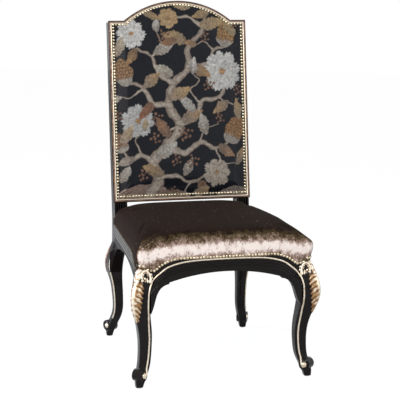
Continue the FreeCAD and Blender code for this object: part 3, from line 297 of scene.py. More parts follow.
def crushed_velvet(looks):
    """Crushed viscose velvet: the pile lies in drifts, so each drift takes the light its own way.

    Deep chocolate on top, with a painted highlight, pale, where the seat rolls over to the front, a green-brown
    painted sheen between, and ragged drifts where these meet."""
    f = Finish("crushed_viscose_velvet")
    sheen_share = f.mark("nap")
    # Drifts of pile 15 to 30 mm across, tufts of about 4 mm along the fall of the seat
    drift = f.noise(f.point((60, 34, 48)), detail=5.0, rough=0.62)
    tufts = f.noise(f.point((260, 150, 150)), detail=4.0, rough=0.7)
    stir = f.times_plus(tufts, 1.00, f.times_plus(drift, 1.15, -1.075))
    # The stir counts for less on top, away from the painted sheen
    nap = f.times_plus(stir, f.spread(sheen_share, 0.16, 1.0, 0.0, 0.45), sheen_share)
    # Deep and brown are the velvet's own colour; olive, rose and pale are painted sheen and painted highlight
    shades = (looks.velvet_deep, looks.velvet_brown, looks.velvet_sheen_olive, looks.velvet_sheen_rose, looks.velvet_highlight)
    places = (0.0, 0.16, 0.36, 0.62, 0.92)
    colour = f.ramp(nap, *((place, tuple(shade)) for place, shade in zip(places, shades)))
    # Single tufts with a painted glint, 3 to 6 mm, sparse
    flecks = f.noise(f.point((95, 60, 60)), detail=6.0, rough=0.75)
    bright = f.spread(flecks, 0.0, 0.50, 0.63, 0.67, "SMOOTHSTEP")
    mixed = f.blend(bright, colour, tuple(looks.velvet_sheen_rose[:3]) + (1.0,))
    height = f.times_plus(tufts, 2.0, f.noise(f.point(), 900.0))
    return f.skin(
        mixed, 0.85, (height, 0.45, 0.0012), Specular_IOR_Level=0.04,
        Sheen_Weight=0.03, Sheen_Roughness=0.45, Sheen_Tint=linear("#cbb7a8"),
    )


def figured_satin():
    """Satin with a brocaded design: a smooth warp-faced ground and matt raised figures."""
    f = Finish("figured_satin_brocade")
    raised = f.mark("raised")
    # Back to the upright panel, so that the threads run with it; 0.7 mm cords, drawn coarse to show
    upright = (BACK_LEAN, 0, 0)
    flat = f.point(turn=upright)
    weft = f.wave(flat, "Z", 220.0, 0.6, 1.0)
    slubs = f.noise(f.point((90, 90, 700), upright), detail=3.0)
    # Figures are woven in broken shades, 5 to 10 mm across
    broken = f.noise(flat, 130.0, 4.0, 0.7)
    both = f.times(f.spread(slubs, 0.62, 1.32), f.spread(broken, 0.50, 1.25, 0.30, 0.70))
    colour = f.blend(1.0, f.mark("figure", "Color"), both, "MULTIPLY")
    return f.skin(
        colour, f.spread(raised, 0.34, 0.60), (f.times_plus(weft, 0.25, raised), 0.5, 0.0006),
        Specular_IOR_Level=0.16, Sheen_Weight=0.02, Sheen_Roughness=0.35,
    )


def plain_satin():
    """Plain black cotton satin on the rear of the back, with soft lights and fine crosswise cords."""
    f = Finish("cotton_satin_plain")
    flat = f.point(turn=(BACK_LEAN, 0, 0))
    colour = f.ramp(f.noise(flat, 9.0, 4.0), (0.3, "#0f1013"), (0.7, "#1a1b20"))
    return f.skin(
        colour, 0.48, (f.wave(flat, "Z", 200.0, 0.8), 0.4, 0.0004), Specular_IOR_Level=0.14, Sheen_Weight=0.02,
    )


def coarse_cloth(name, light, dark, thread, rough):
    """Plain woven jute or cotton: over-and-under threads of one thickness in metres."""
    f = Finish(name)
    grid = f.point((1 / thread,) * 3)
    weave = f.times(f.wave(grid, "X", 0.16, 1.2), f.wave(grid, "Y", 0.16, 1.2))
    colour = f.blend(weave, linear(dark), linear(light))
    return f.skin(colour, rough, (weave, 0.6, thread / 2), Specular_IOR_Level=0.2)


# Pieces and surfaces

def linked(name, mesh):
    """A new thing in the scene."""
    thing = bpy.data.objects.new(name, mesh)
    bpy.context.scene.collection.objects.link(thing)
    return thing


def new_piece(name, mesh, material, slot, replaced=()):
    """Put a finished mesh in the scene as a piece of the chair."""
    thing = linked(name, mesh)
    mesh.materials.clear()
    mesh.materials.append(material)
    settle(thing, slot, replaced)
    return thing


def settle(thing, slot, replaced=()):
    """Let a piece ride on the chair, and hide the solids that it stands for; the slot is not used."""
    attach(thing, BODY)
    if replaced:
        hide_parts(*replaced)


def raw_mesh(name, points, faces=(), edges=()):
    """A mesh from lists."""
    mesh = bpy.data.meshes.new(name)
    mesh.from_pydata([tuple(p) for p in points], list(edges), list(faces))
    return mesh


def shape_of(mesh, dist=1e-6):
    """A mesh opened for changes, with its doubles merged."""
    shape = bmesh.new()
    shape.from_mesh(mesh)
    bmesh.ops.remove_doubles(shape, verts=shape.verts, dist=dist)
    return shape


def closed(shape, mesh):
    """Turn a shape's faces outwards and write it to a mesh, given itself or by its name."""
    bmesh.ops.recalc_face_normals(shape, faces=shape.faces)
    if isinstance(mesh, str):
        mesh = bpy.data.meshes.new(mesh)
    shape.to_mesh(mesh)
    shape.free()
    return mesh


def tidy(mesh):
    """Merge doubles, turn the faces outwards and smooth them."""
    shape = shape_of(mesh)
    for face in shape.faces:
        face.smooth = True
    closed(shape, mesh).update()
    return mesh


def keep(mesh, name, values, kind="FLOAT", field="value"):
    """Keep a value on each point of a mesh."""
    mesh.attributes.new(name, kind, "POINT").data.foreach_set(field, values)


def applied(thing):
    """Make a thing's modifiers part of its mesh."""
    graph = bpy.context.evaluated_depsgraph_get()
    mesh = bpy.data.meshes.new_from_object(thing.evaluated_get(graph), depsgraph=graph)
    thing.modifiers.clear()
    thing.data = mesh
    return mesh


def solid_copy(name, node, angle=32):
    """A welded copy of a solid, smooth except at edges sharper than an angle in degrees."""
    mesh = closed(shape_of(cad[node].data, 2e-6), name)
    mesh.shade_smooth()
    mesh.set_sharp_from_angle(angle=math.radians(angle))
    return mesh


def surface_of(*nodes):
    """A tree for finding points on solids."""
    points = []
    faces = []
    for node in nodes:
        base = len(points)
        points.extend(v.co.copy() for v in cad[node].data.vertices)
        faces.extend([base + i for i in p.vertices] for p in cad[node].data.polygons)
    return BVHTree.FromPolygons(points, faces)


def hit(surface, start, along):
    """Where a ray meets a surface, and the surface's normal there."""
    place, normal, _, _ = surface.ray_cast(start, along)
    if place is None:
        raise RuntimeError("no solid lies on the line from %s along %s" % (tuple(start), tuple(along)))
    return place, normal


def laid_on(surface, line, along):
    """A line of points moved along a direction onto a surface."""
    return [hit(surface, p - along * 0.6, along)[0] for p in line]


def first_met(surface, start, step, along):
    """The first of some places, a step apart, from which a ray meets a surface."""
    for count in range(400):
        if surface.ray_cast(start + step * count, along, 0.45)[0] is not None:
            return start + step * count
    raise RuntimeError("no solid lies past %s" % (tuple(start),))


def curve_through(points, steps):
    """Points on a smooth line through some points, with a number of steps between each two."""
    points = [Vector(p) for p in points]
    ends = [points[0] * 2 - points[1]] + points + [points[-1] * 2 - points[-2]]
    made = []
    for i in range(1, len(ends) - 2):
        a, b, c, e = ends[i - 1:i + 3]
        for k in range(steps):
            t = k / steps
            made.append(
                (b * 2 + (c - a) * t + (a * 2 - b * 5 + c * 4 - e) * t * t
                 + (b * 3 - a - c * 3 + e) * t ** 3) / 2
            )
    made.append(points[-1])
    return made


def clamped(value):
    """A value kept between 0 and 1."""
    return max(0.0, min(1.0, value))


def at(value, table):
    """A value looked up in a table of pairs."""
    return float(np.interp(value, [a for a, _ in table], [b for _, b in table]))


def on_back(x, v, w):
    """A point on the leaning back: across, behind its front face, and up from the seat frame."""
    return Vector((
        x,
        POST_Y + v * math.cos(BACK_LEAN) + w * math.sin(BACK_LEAN),
        FRAME_TOP - v * math.sin(BACK_LEAN) + w * math.cos(BACK_LEAN),
    ))


def side_x(y):
    """Outer face of a side rail."""
    return FRONT_HALF + (y - FRONT_Y) * (REAR_HALF - FRONT_HALF) / (POST_Y - FRONT_Y)


def outward_of(splay, sign, ahead):
    """The way a leg sweeps, in plan."""
    return Vector((math.cos(splay) * sign, math.sin(splay) * ahead, 0))


def net_faces(rows, columns, ring=False):
    """Quads between rows of points, closed round each row if they are rings."""
    faces = []
    for i in range(rows - 1):
        for k in range(columns if ring else columns - 1):
            n = (k + 1) % columns
            faces.append([i * columns + k, i * columns + n, (i + 1) * columns + n, (i + 1) * columns + k])
    return faces


def closed_sheet(name, rows, columns, place):
    """A closed piece from a grid: a rule gives each point's place on the face and underneath."""
    both = [place(i, j) for i in range(rows) for j in range(columns)]
    base = rows * columns
    faces = net_faces(rows, columns)
    faces += [[base + k for k in reversed(quad)] for quad in faces]
    rim = list(range(columns)) + [i * columns + columns - 1 for i in range(1, rows)]
    rim += [(rows - 1) * columns + j for j in range(columns - 2, -1, -1)]
    rim += [i * columns for i in range(rows - 2, 0, -1)]
    faces += [[b, a, base + a, base + b] for a, b in zip(rim, rim[1:] + rim[:1])]
    return raw_mesh(name, [face for face, _ in both] + [under for _, under in both], faces)


# Trees of geometry nodes

def new_tree(name, entry, sizes):
    """An empty tree with a geometry input, named sizes and a finish."""
    tree = bpy.data.node_groups.new(name, "GeometryNodeTree")
    face = tree.interface
    face.new_socket(name=entry, in_out="INPUT", socket_type="NodeSocketGeometry")
    for label, kind, default in sizes:
        socket = face.new_socket(name=label, in_out="INPUT", socket_type=kind)
        socket.default_value = default
    face.new_socket(name="Finish", in_out="INPUT", socket_type="NodeSocketMaterial")
    face.new_socket(name="Piece", in_out="OUTPUT", socket_type="NodeSocketGeometry")
    return tree, add(tree, "NodeGroupInput").outputs


def close_tree(tree, shape, finish):
    """End a tree in real geometry with its finish."""
    smooth = add(tree, "GeometryNodeSetShadeSmooth", {}, {"Geometry": shape})
    real = add(tree, "GeometryNodeRealizeInstances", {}, {"Geometry": smooth.outputs[0]})
    done = add(tree, "GeometryNodeSetMaterial", {}, {"Geometry": real.outputs[0], "Material": finish})
    add(tree, "NodeGroupOutput", {}, {"Piece": done.outputs[0]})
    return tree


def bead_tree():
    """A round bead swept along lines that lie on a surface, so that half of it stands proud."""
    tree, given = new_tree("Bead along a line", "Lines", (
        ("Radius", "NodeSocketFloat", 0.0025),
        ("Step", "NodeSocketFloat", 0.004),
        ("Sides", "NodeSocketInt", 10),
    ))
    line = add(tree, "GeometryNodeMeshToCurve", {}, {"Mesh": given["Lines"]})
    even = add(tree, "GeometryNodeResampleCurve", {"mode": "LENGTH"}, {
        "Curve": line.outputs[0], "Length": given["Step"],
    })
    circle = add(tree, "GeometryNodeCurvePrimitiveCircle", {}, {
        "Resolution": given["Sides"], "Radius": given["Radius"],
    })
    bead = add(tree, "GeometryNodeCurveToMesh", {}, {
        "Curve": even.outputs[0], "Profile Curve": circle.outputs[0], "Fill Caps": True,
    })
    return close_tree(tree, bead.outputs[0], given["Finish"])


def head_tree():
    """A low domed head on each point, turned to the way that the point's cloth faces."""
    tree, given = new_tree("Nail heads on points", "Points", (
        ("Radius", "NodeSocketFloat", 0.0044),
        ("Dome", "NodeSocketFloat", 0.0026),
        ("Sides", "NodeSocketInt", 10),
    ))
    ball = add(tree, "GeometryNodeMeshUVSphere", {}, {
        "Segments": given["Sides"], "Rings": 6, "Radius": given["Radius"],
    })
    share = add(tree, "ShaderNodeMath", {"operation": "DIVIDE"}, {0: given["Dome"], 1: given["Radius"]})
    squash = add(tree, "ShaderNodeCombineXYZ", {}, {"X": 1.0, "Y": 1.0, "Z": share.outputs[0]})
    head = add(tree, "GeometryNodeTransform", {}, {
        "Geometry": ball.outputs["Mesh"], "Scale": squash.outputs[0],
    })
    faces = add(tree, "GeometryNodeInputNamedAttribute", {"data_type": "FLOAT_VECTOR"}, {"Name": "facing"})
    turn = add(tree, "FunctionNodeAlignRotationToVector", {"axis": "Z"}, {"Vector": faces.outputs["Attribute"]})
    heads = add(tree, "GeometryNodeInstanceOnPoints", {}, {
        "Points": given["Points"], "Instance": head.outputs[0], "Rotation": turn.outputs[0],
    })
    return close_tree(tree, heads.outputs[0], given["Finish"])


def grown(tree, seed, name, slot, replaced=(), tone=0.30, **inputs):
    """A piece made by a tree from a seed mesh, turned into a plain mesh."""
    thing = linked(name, seed)
    build = thing.modifiers.new("Build", "NODES")
    build.node_group = tree
    for item in tree.interface.items_tree:
        if item.in_out == "INPUT" and item.name in inputs:
            build[item.identifier] = inputs[item.name]
    mesh = applied(thing)
    mesh.name = name
    shape = bmesh.new()
    shape.from_mesh(mesh)
    closed(shape, mesh)
    if "relief" not in mesh.attributes:
        keep(mesh, "relief", [tone] * len(mesh.vertices))
    settle(thing, slot, replaced)


def swept(tree, lines, name, slot, finish, radius, step=0.005, sides=10):
    """A piece of round beads along lines of points."""
    points = []
    edges = []
    for line in lines:
        edges.extend((len(points) + i, len(points) + i + 1) for i in range(len(line) - 1))
        points.extend(line)
    seed = raw_mesh(name, points, edges=edges)
    grown(tree, seed, name, slot, Radius=radius, Step=step, Sides=sides, Finish=finish)


def facing_points(name, places, facings):
    """A mesh of points, each with the way that it faces."""
    mesh = raw_mesh(name, places)
    keep(mesh, "facing", [c for f in facings for c in f], "FLOAT_VECTOR", "vector")
    return mesh


# Sizes and colours that a user would change

def colour(name, description, value):
    return FloatVectorProperty(
        name=name, description=description, subtype="COLOR", size=4, min=0, max=1, default=linear(value)
    )


def length(name, description, value, low, high):
    return FloatProperty(name=name, description=description, unit="LENGTH", default=value, min=low, max=high)


class ChairLooks(bpy.types.PropertyGroup):
    """Colours of the finishes."""
    ebony: colour("Ebony", "Black stain of the frame", "#100a09")
    ebony_worn: colour("Worn ebony", "Stain where it has thinned", "#1d1410")
    gilt: colour("Gilt", "Gold leaf where it is bright", "#eee3d0")
    gilt_toned: colour("Toned gilt", "Gold leaf where it is toned down", "#a97f4e")
    bronze: colour("Bronze", "Bronze paint of the outer reeds", "#86695a")
    bole: colour("Bole", "Dark ground under the leaf", "#3a2618")
    brass: colour("Brass", "Nail heads", "#eadfc4")
    velvet_deep: colour("Deep velvet", "Velvet at its darkest", "#1c1310")
    velvet_brown: colour("Brown velvet", "Velvet on the crown", "#241a14")
    # Olive, rose and pale are the colours of the velvet's painted sheen and painted highlight on the front roll
    velvet_sheen_olive: colour("Olive velvet", "Velvet where the seat starts to roll over", "#574933")
    velvet_sheen_rose: colour("Rose velvet", "Velvet on the roll, in its hollows", "#a88f84")
    velvet_highlight: colour("Pale velvet", "Velvet on the roll, on its crests", "#faeee8")
    ground: colour("Satin ground", "Ground of the figured satin", "#16181f")


class ChairTrim(bpy.types.PropertyGroup):
    """Sizes of the nails, beads, reeds and carving."""
    nail_radius: length("Nail radius", "Radius of a nail's head", 0.0043, 0.001, 0.01)
    nail_dome: length("Nail dome", "Height of a nail's head", 0.0027, 0.0005, 0.01)
    bead_radius: length("Bead radius", "Radius of the gilt beads", 0.0028, 0.001, 0.01)
    reed_radius: length("Reed radius", "Radius of the black reeds", 0.0024, 0.001, 0.01)
    leaf_relief: length("Leaf relief", "Depth of the carved leaves", 0.0034, 0, 0.01)
    leaflets: IntProperty(name="Leaflets", description="Leaflets along a carved leaf", default=9, min=3, max=20)
    eye_radius: length("Eye radius", "Radius of the gilt balls of the toes", 0.0101, 0.005, 0.02)


class ChairPads(bpy.types.PropertyGroup):
    """Sizes of the upholstery."""
    seat_rise: length("Seat rise", "Frame to the crown of the seat", 0.055, 0.02, 0.1)
    crown_inset: length("Crown inset", "Seat edge to where it is level", 0.19, 0.05, 0.3)
    back_swell: length("Back swell", "Swell of the front of the back", 0.014, 0, 0.04)
    rear_swell: length("Rear swell", "Swell of the rear of the back", 0.007, 0, 0.04)
    pressure: FloatProperty(
        name="Filling pressure", description="Pressure of the filling on the cloth", default=4.0, min=0, max=20,
    )


class STUDIO_OT_chair_stage(bpy.types.Operator):
    """Floor, soft lights, pale surroundings and camera"""
    bl_idname = "chair.stage"
    bl_label = "Stage"

    def execute(self, context):
        scene = context.scene
        scene.view_settings.view_transform = "Standard"
        self.make_surroundings(scene)
        self.make_floor()
        for name, place, size, power, tint in (
            ("key_light", (-2.3, -2.3, 2.3), 1.5, 62, "#fffaf4"),
            ("fill_light", (2.3, -2.4, 1.5), 1.6, 22, "#f7f9ff"),
            ("side_light", (-2.6, 0.9, 1.3), 1.2, 62, "#e6efff"),
        ):
            light = bpy.data.lights.new(name, "AREA")
            light.shape = "SQUARE"
            light.size = size
            light.energy = power
            light.color = linear(tint)[:3]
            lamp = linked(name, light)
            lamp.location = place
            lamp.rotation_euler = (Vector((0, 0, 0.5)) - Vector(place)).to_track_quat("-Z", "Y").to_euler()
        self.make_camera(scene)
        return {"FINISHED"}

    def make_surroundings(self, scene):
        """White where the camera, gloss and glass see it, softer as a light."""
        world = bpy.data.worlds.new("studio")
        world.use_nodes = True
        tree = world.node_tree
        tree.nodes.clear()
        path = add(tree, "ShaderNodeLightPath").outputs
        seen = path["Is Camera Ray"]
        for ray in ("Is Glossy Ray", "Is Transmission Ray"):
            seen = add(tree, "ShaderNodeMath", {"operation": "MAXIMUM"}, {0: seen, 1: path[ray]}).outputs[0]
        soft, white = (
            add(tree, "ShaderNodeBackground", {}, {"Color": linear("#ffffff"), "Strength": strength}).outputs[0]
            for strength in (0.42, 1.0)
        )
        mixed = add(tree, "ShaderNodeMixShader", {}, {0: seen, 1: soft, 2: white})
        add(tree, "ShaderNodeOutputWorld", {}, {"Surface": mixed.outputs[0]})
        scene.world = world

    def make_floor(self):
        """A wide pale floor that keeps the chair's shadow."""
        shape = bmesh.new()
        bmesh.ops.create_circle(shape, cap_ends=True, segments=64, radius=9.0)
        mesh = bpy.data.meshes.new("studio_floor")
        shape.to_mesh(mesh)
        shape.free()
        f = Finish("studio_floor_matt")
        tone = f.spread(f.noise(f.point(), 2.0), 0.86, 0.90)
        matt = f.put("ShaderNodeBsdfDiffuse", {}, {"Color": tone})
        glow = f.put("ShaderNodeEmission", {}, {"Color": linear("#ffffff"), "Strength": 1.07})
        share = f.times(f.put("ShaderNodeLightPath", {}, {}, "Is Camera Ray"), 0.88)
        mixed = add(f.tree, "ShaderNodeMixShader", {}, {0: share, 1: matt, 2: glow})
        mesh.materials.append(f.close(mixed))
        linked("studio_floor", mesh)

    def make_camera(self, scene):
        """A long lens at the height of a standing eye, turned as the photograph is."""
        turn = math.radians(15.647)
        dip = math.radians(10.95)
        tilt = math.radians(0.74)
        ahead = Vector((math.sin(turn) * math.cos(dip), math.cos(turn) * math.cos(dip), -math.sin(dip)))
        level = Vector((math.cos(turn), -math.sin(turn), 0))
        upright = level.cross(ahead)
        right = level * math.cos(tilt) + upright * math.sin(tilt)
        up = upright * math.cos(tilt) - level * math.sin(tilt)
        data = bpy.data.cameras.new("camera")
        data.sensor_width = 36.0
        data.lens = 135.88
        data.clip_start = 0.1
        data.clip_end = 60
        camera = linked("camera", data)
        axes = Matrix((right, up, -ahead)).transposed().to_4x4()
        camera.matrix_world = Matrix.Translation(Vector((-1.3072, -4.6849, 1.4592))) @ axes
        scene.camera = camera


class FINISH_OT_chair_frame(bpy.types.Operator):
    """Ebonised legs, posts and rails, and the bare and metal parts inside"""
    bl_idname = "chair.frame"
    bl_label = "Frame"

    def execute(self, context):
        looks = context.scene.chair_looks
        black = ebonised_beech(looks)
        dull = ebonised_beech(looks, "ebonised_beech_dull", 0.06, 0.01)
        frame_parts = [
            (stem + side, finish, angle) for side in ("left", "right") for stem, finish, angle in (
                ("front_leg_", black, 32), ("back_post_", black, 32), ("side_seat_rail_", dull, 32),
                ("knee_block_front_", black, 40), ("knee_block_side_front_", dull, 40),
                ("knee_block_side_rear_", dull, 40),
            )
        ]
        frame_parts += [(node, black, 32) for node in ("front_seat_rail", "crest_rail", "rear_seat_rail")]
        for node, finish, angle in frame_parts:
            name = node + "_polished"
            new_piece(name, solid_copy(name, node, angle), finish, "ebonised_frame", [node])
        blocks = ["corner_block_%s_%s" % (end, side) for end in ("front", "rear") for side in ("left", "right")]
        for material, nodes in (
            (bare_beech(), ["lower_back_rail", "rail_dowels", "back_rail_dowels"] + blocks),
            (zinc_steel(), ["corner_block_screws", "foot_glides"]),
            (coarse_cloth("jute_webbing", "#a5865a", "#5d4527", 0.0016, 0.85), [
                "seat_webbing_lengthwise", "seat_webbing_crosswise", "back_webbing_upright",
                "back_webbing_crosswise",
            ]),
            (coarse_cloth("jute_hessian", "#b59a6c", "#6d5533", 0.0014, 0.9), ["seat_hessian", "back_hessian"]),
        ):
            for node in nodes:
                self.dress(node, material)
        return {"FINISHED"}

    def dress(self, node, material):
        """Give a solid that stays its finish."""
        mesh = cad[node].data
        if not mesh.materials:
            mesh.materials.append(material)
        for place in cad[node].material_slots:
            place.link = "OBJECT"
            place.material = material


class TRIM_OT_chair_beads(bpy.types.Operator):
    """Gilt beads and black reeds along the rails and legs"""
    bl_idname = "chair.beads"
    bl_label = "Beads and reeds"
    # Height off the floor and distance of the bead from a front leg's inner edge, in metres
    LEG_HEIGHTS = (0.262, 0.225, 0.190, 0.160, 0.130, 0.100, 0.078, 0.060)
    LEG_MARGIN = 0.0095
    # Where the bead curls into the toe: from the middle of the chair, and height
    TOE_CURL = ((0.2520, 0.048), (0.2535, 0.038), (0.2580, 0.030))
    REAR_HEIGHTS = (0.316, 0.300, 0.270, 0.240, 0.200, 0.160, 0.125, 0.095, 0.072)

    def execute(self, context):
        looks = context.scene.chair_looks
        trim = context.scene.chair_trim
        tree = bead_tree()
        front = surface_of(
            "front_leg_left", "front_leg_right", "front_seat_rail", "knee_block_front_left",
            "knee_block_front_right",
        )
        line = []
        rear_beads, side_reeds = [], []
        for side, sign in SIDES:
            half = self.front_half(surface_of("front_leg_" + side), sign)
            line.extend(half[::-1] if sign < 0 else half[1:])
            inward = Vector((-sign, 0, 0))
            post = surface_of("back_post_" + side)
            path = []
            for z in self.REAR_HEIGHTS:
                met = first_met(post, Vector((0.5 * sign, 0.12, z)), Vector((0, 0.001, 0)), inward)
                path.append((0, met.y + 0.002, z))
            rear_beads.append(laid_on(post, curve_through(path, 6), inward))
            flank = surface_of(*(name + side for name in (
                "side_seat_rail_", "front_leg_", "knee_block_side_front_", "knee_block_side_rear_",
            )))
            for drop in (0.0110, 0.0225, 0.0340):
                run = [-0.262 + 0.452 * k / 40 for k in range(41)]
                side_reeds.append(laid_on(flank, [Vector((0, y, side_hem(y) - drop)) for y in run], inward))
        gold = water_gilding(looks)
        swept(tree, [laid_on(front, line, AHEAD)], "gilt_bead_front", GILT, gold, trim.bead_radius, 0.004)
        swept(tree, rear_beads, "gilt_beads_rear_legs", GILT, gold, trim.bead_radius * 0.80, sides=8)
        reeds = []
        for share in (0.26, 0.44, 0.62):
            pairs = zip(BEAD_LINE, UNDER_LINE)
            path = [(x1 + (x2 - x1) * share, z1 + (z2 - z1) * share) for (x1, z1), (x2, z2) in pairs]
            for sign in (-1, 1):
                smooth = curve_through([(x * MM * sign, 0, z * MM) for x, z in path], 8)
                reeds.append(laid_on(front, smooth, AHEAD))
        for sign in (-1, 1):
            for k in range(5):
                x = POST_INNER_X + 0.0065 + 0.0082 * k
                reeds.append([on_back(x * sign, 0.0, 0.012), on_back(x * sign, 0.0, 0.048)])
        black = bpy.data.materials["ebonised_beech_polished"]
        waxed = ebonised_beech(looks, "ebonised_beech_waxed", 1.0, 0.5)
        swept(tree, reeds, "rail_reeds", "ebonised_frame", black, trim.reed_radius)
        swept(tree, side_reeds, "side_rail_reeds", "ebonised_frame", waxed, trim.reed_radius * 0.75, sides=12)
        return {"FINISHED"}

    def front_half(self, leg, sign):
        """Half of the front bead, from the middle of the rail down a leg to its toe."""
        path = [(x * MM, z * MM) for x, z in BEAD_LINE]
        path += [(self.inner_edge(leg, sign, z) + self.LEG_MARGIN, z) for z in self.LEG_HEIGHTS]
        path += [(max(self.inner_edge(leg, sign, z) + 0.004, x), z) for x, z in self.TOE_CURL]
        return curve_through([(x * sign, 0, z) for x, z in path], 8)

    def inner_edge(self, leg, sign, z):
        """How far a leg's inner edge is from the middle, seen from the front."""
        return abs(first_met(leg, Vector((0.2 * sign, -0.6, z)), Vector((0.001 * sign, 0, 0)), AHEAD).x)


def arc_height(a, b, c, place):
    """Height at a place on the arc through three points, each a place and a height."""
    (ax, az), (bx, bz), (cx, cz) = a, b, c
    twice = 2 * (ax * (bz - cz) + bx * (cz - az) + cx * (az - bz))
    aa, bb, cc = ax ** 2 + az ** 2, bx ** 2 + bz ** 2, cx ** 2 + cz ** 2
    ux = (aa * (bz - cz) + bb * (cz - az) + cc * (az - bz)) / twice
    uz = (aa * (cx - bx) + bb * (ax - cx) + cc * (bx - ax)) / twice
    radius = math.hypot(ax - ux, az - uz)
    side = 1 if bz > uz else -1
    return uz + side * math.sqrt(max(0.0, radius ** 2 - (place - ux) ** 2))


def nail_line(place, leg, corner):
    """Height of the nails: level, dipping to where a leg starts, and rising to the seat's corner."""
    place = min(place, corner)
    bend = leg - HEM_BEND
    if place <= bend:
        return HEM_LEVEL
    if place <= leg:
        bow = (bend + HEM_BEND * 0.62, HEM_LEVEL - (HEM_LEVEL - HEM_DIP) * 0.30)
        return arc_height((bend, HEM_LEVEL), bow, (leg, HEM_DIP), place)
    swag = (leg + (corner - leg) * 0.45, HEM_DIP + (HEM_CORNER - HEM_DIP) * 0.28)
    return arc_height((leg, HEM_DIP), swag, (corner, HEM_CORNER), place)


def front_hem(x):
    """The front nail line at a distance from the middle."""
    return nail_line(abs(x), LEG_INNER_X, FRONT_HALF)


def side_hem(y):
    """The side nail line at a distance from front to rear."""
    return nail_line(-y, -LEG_REAR_Y, -FRONT_Y)


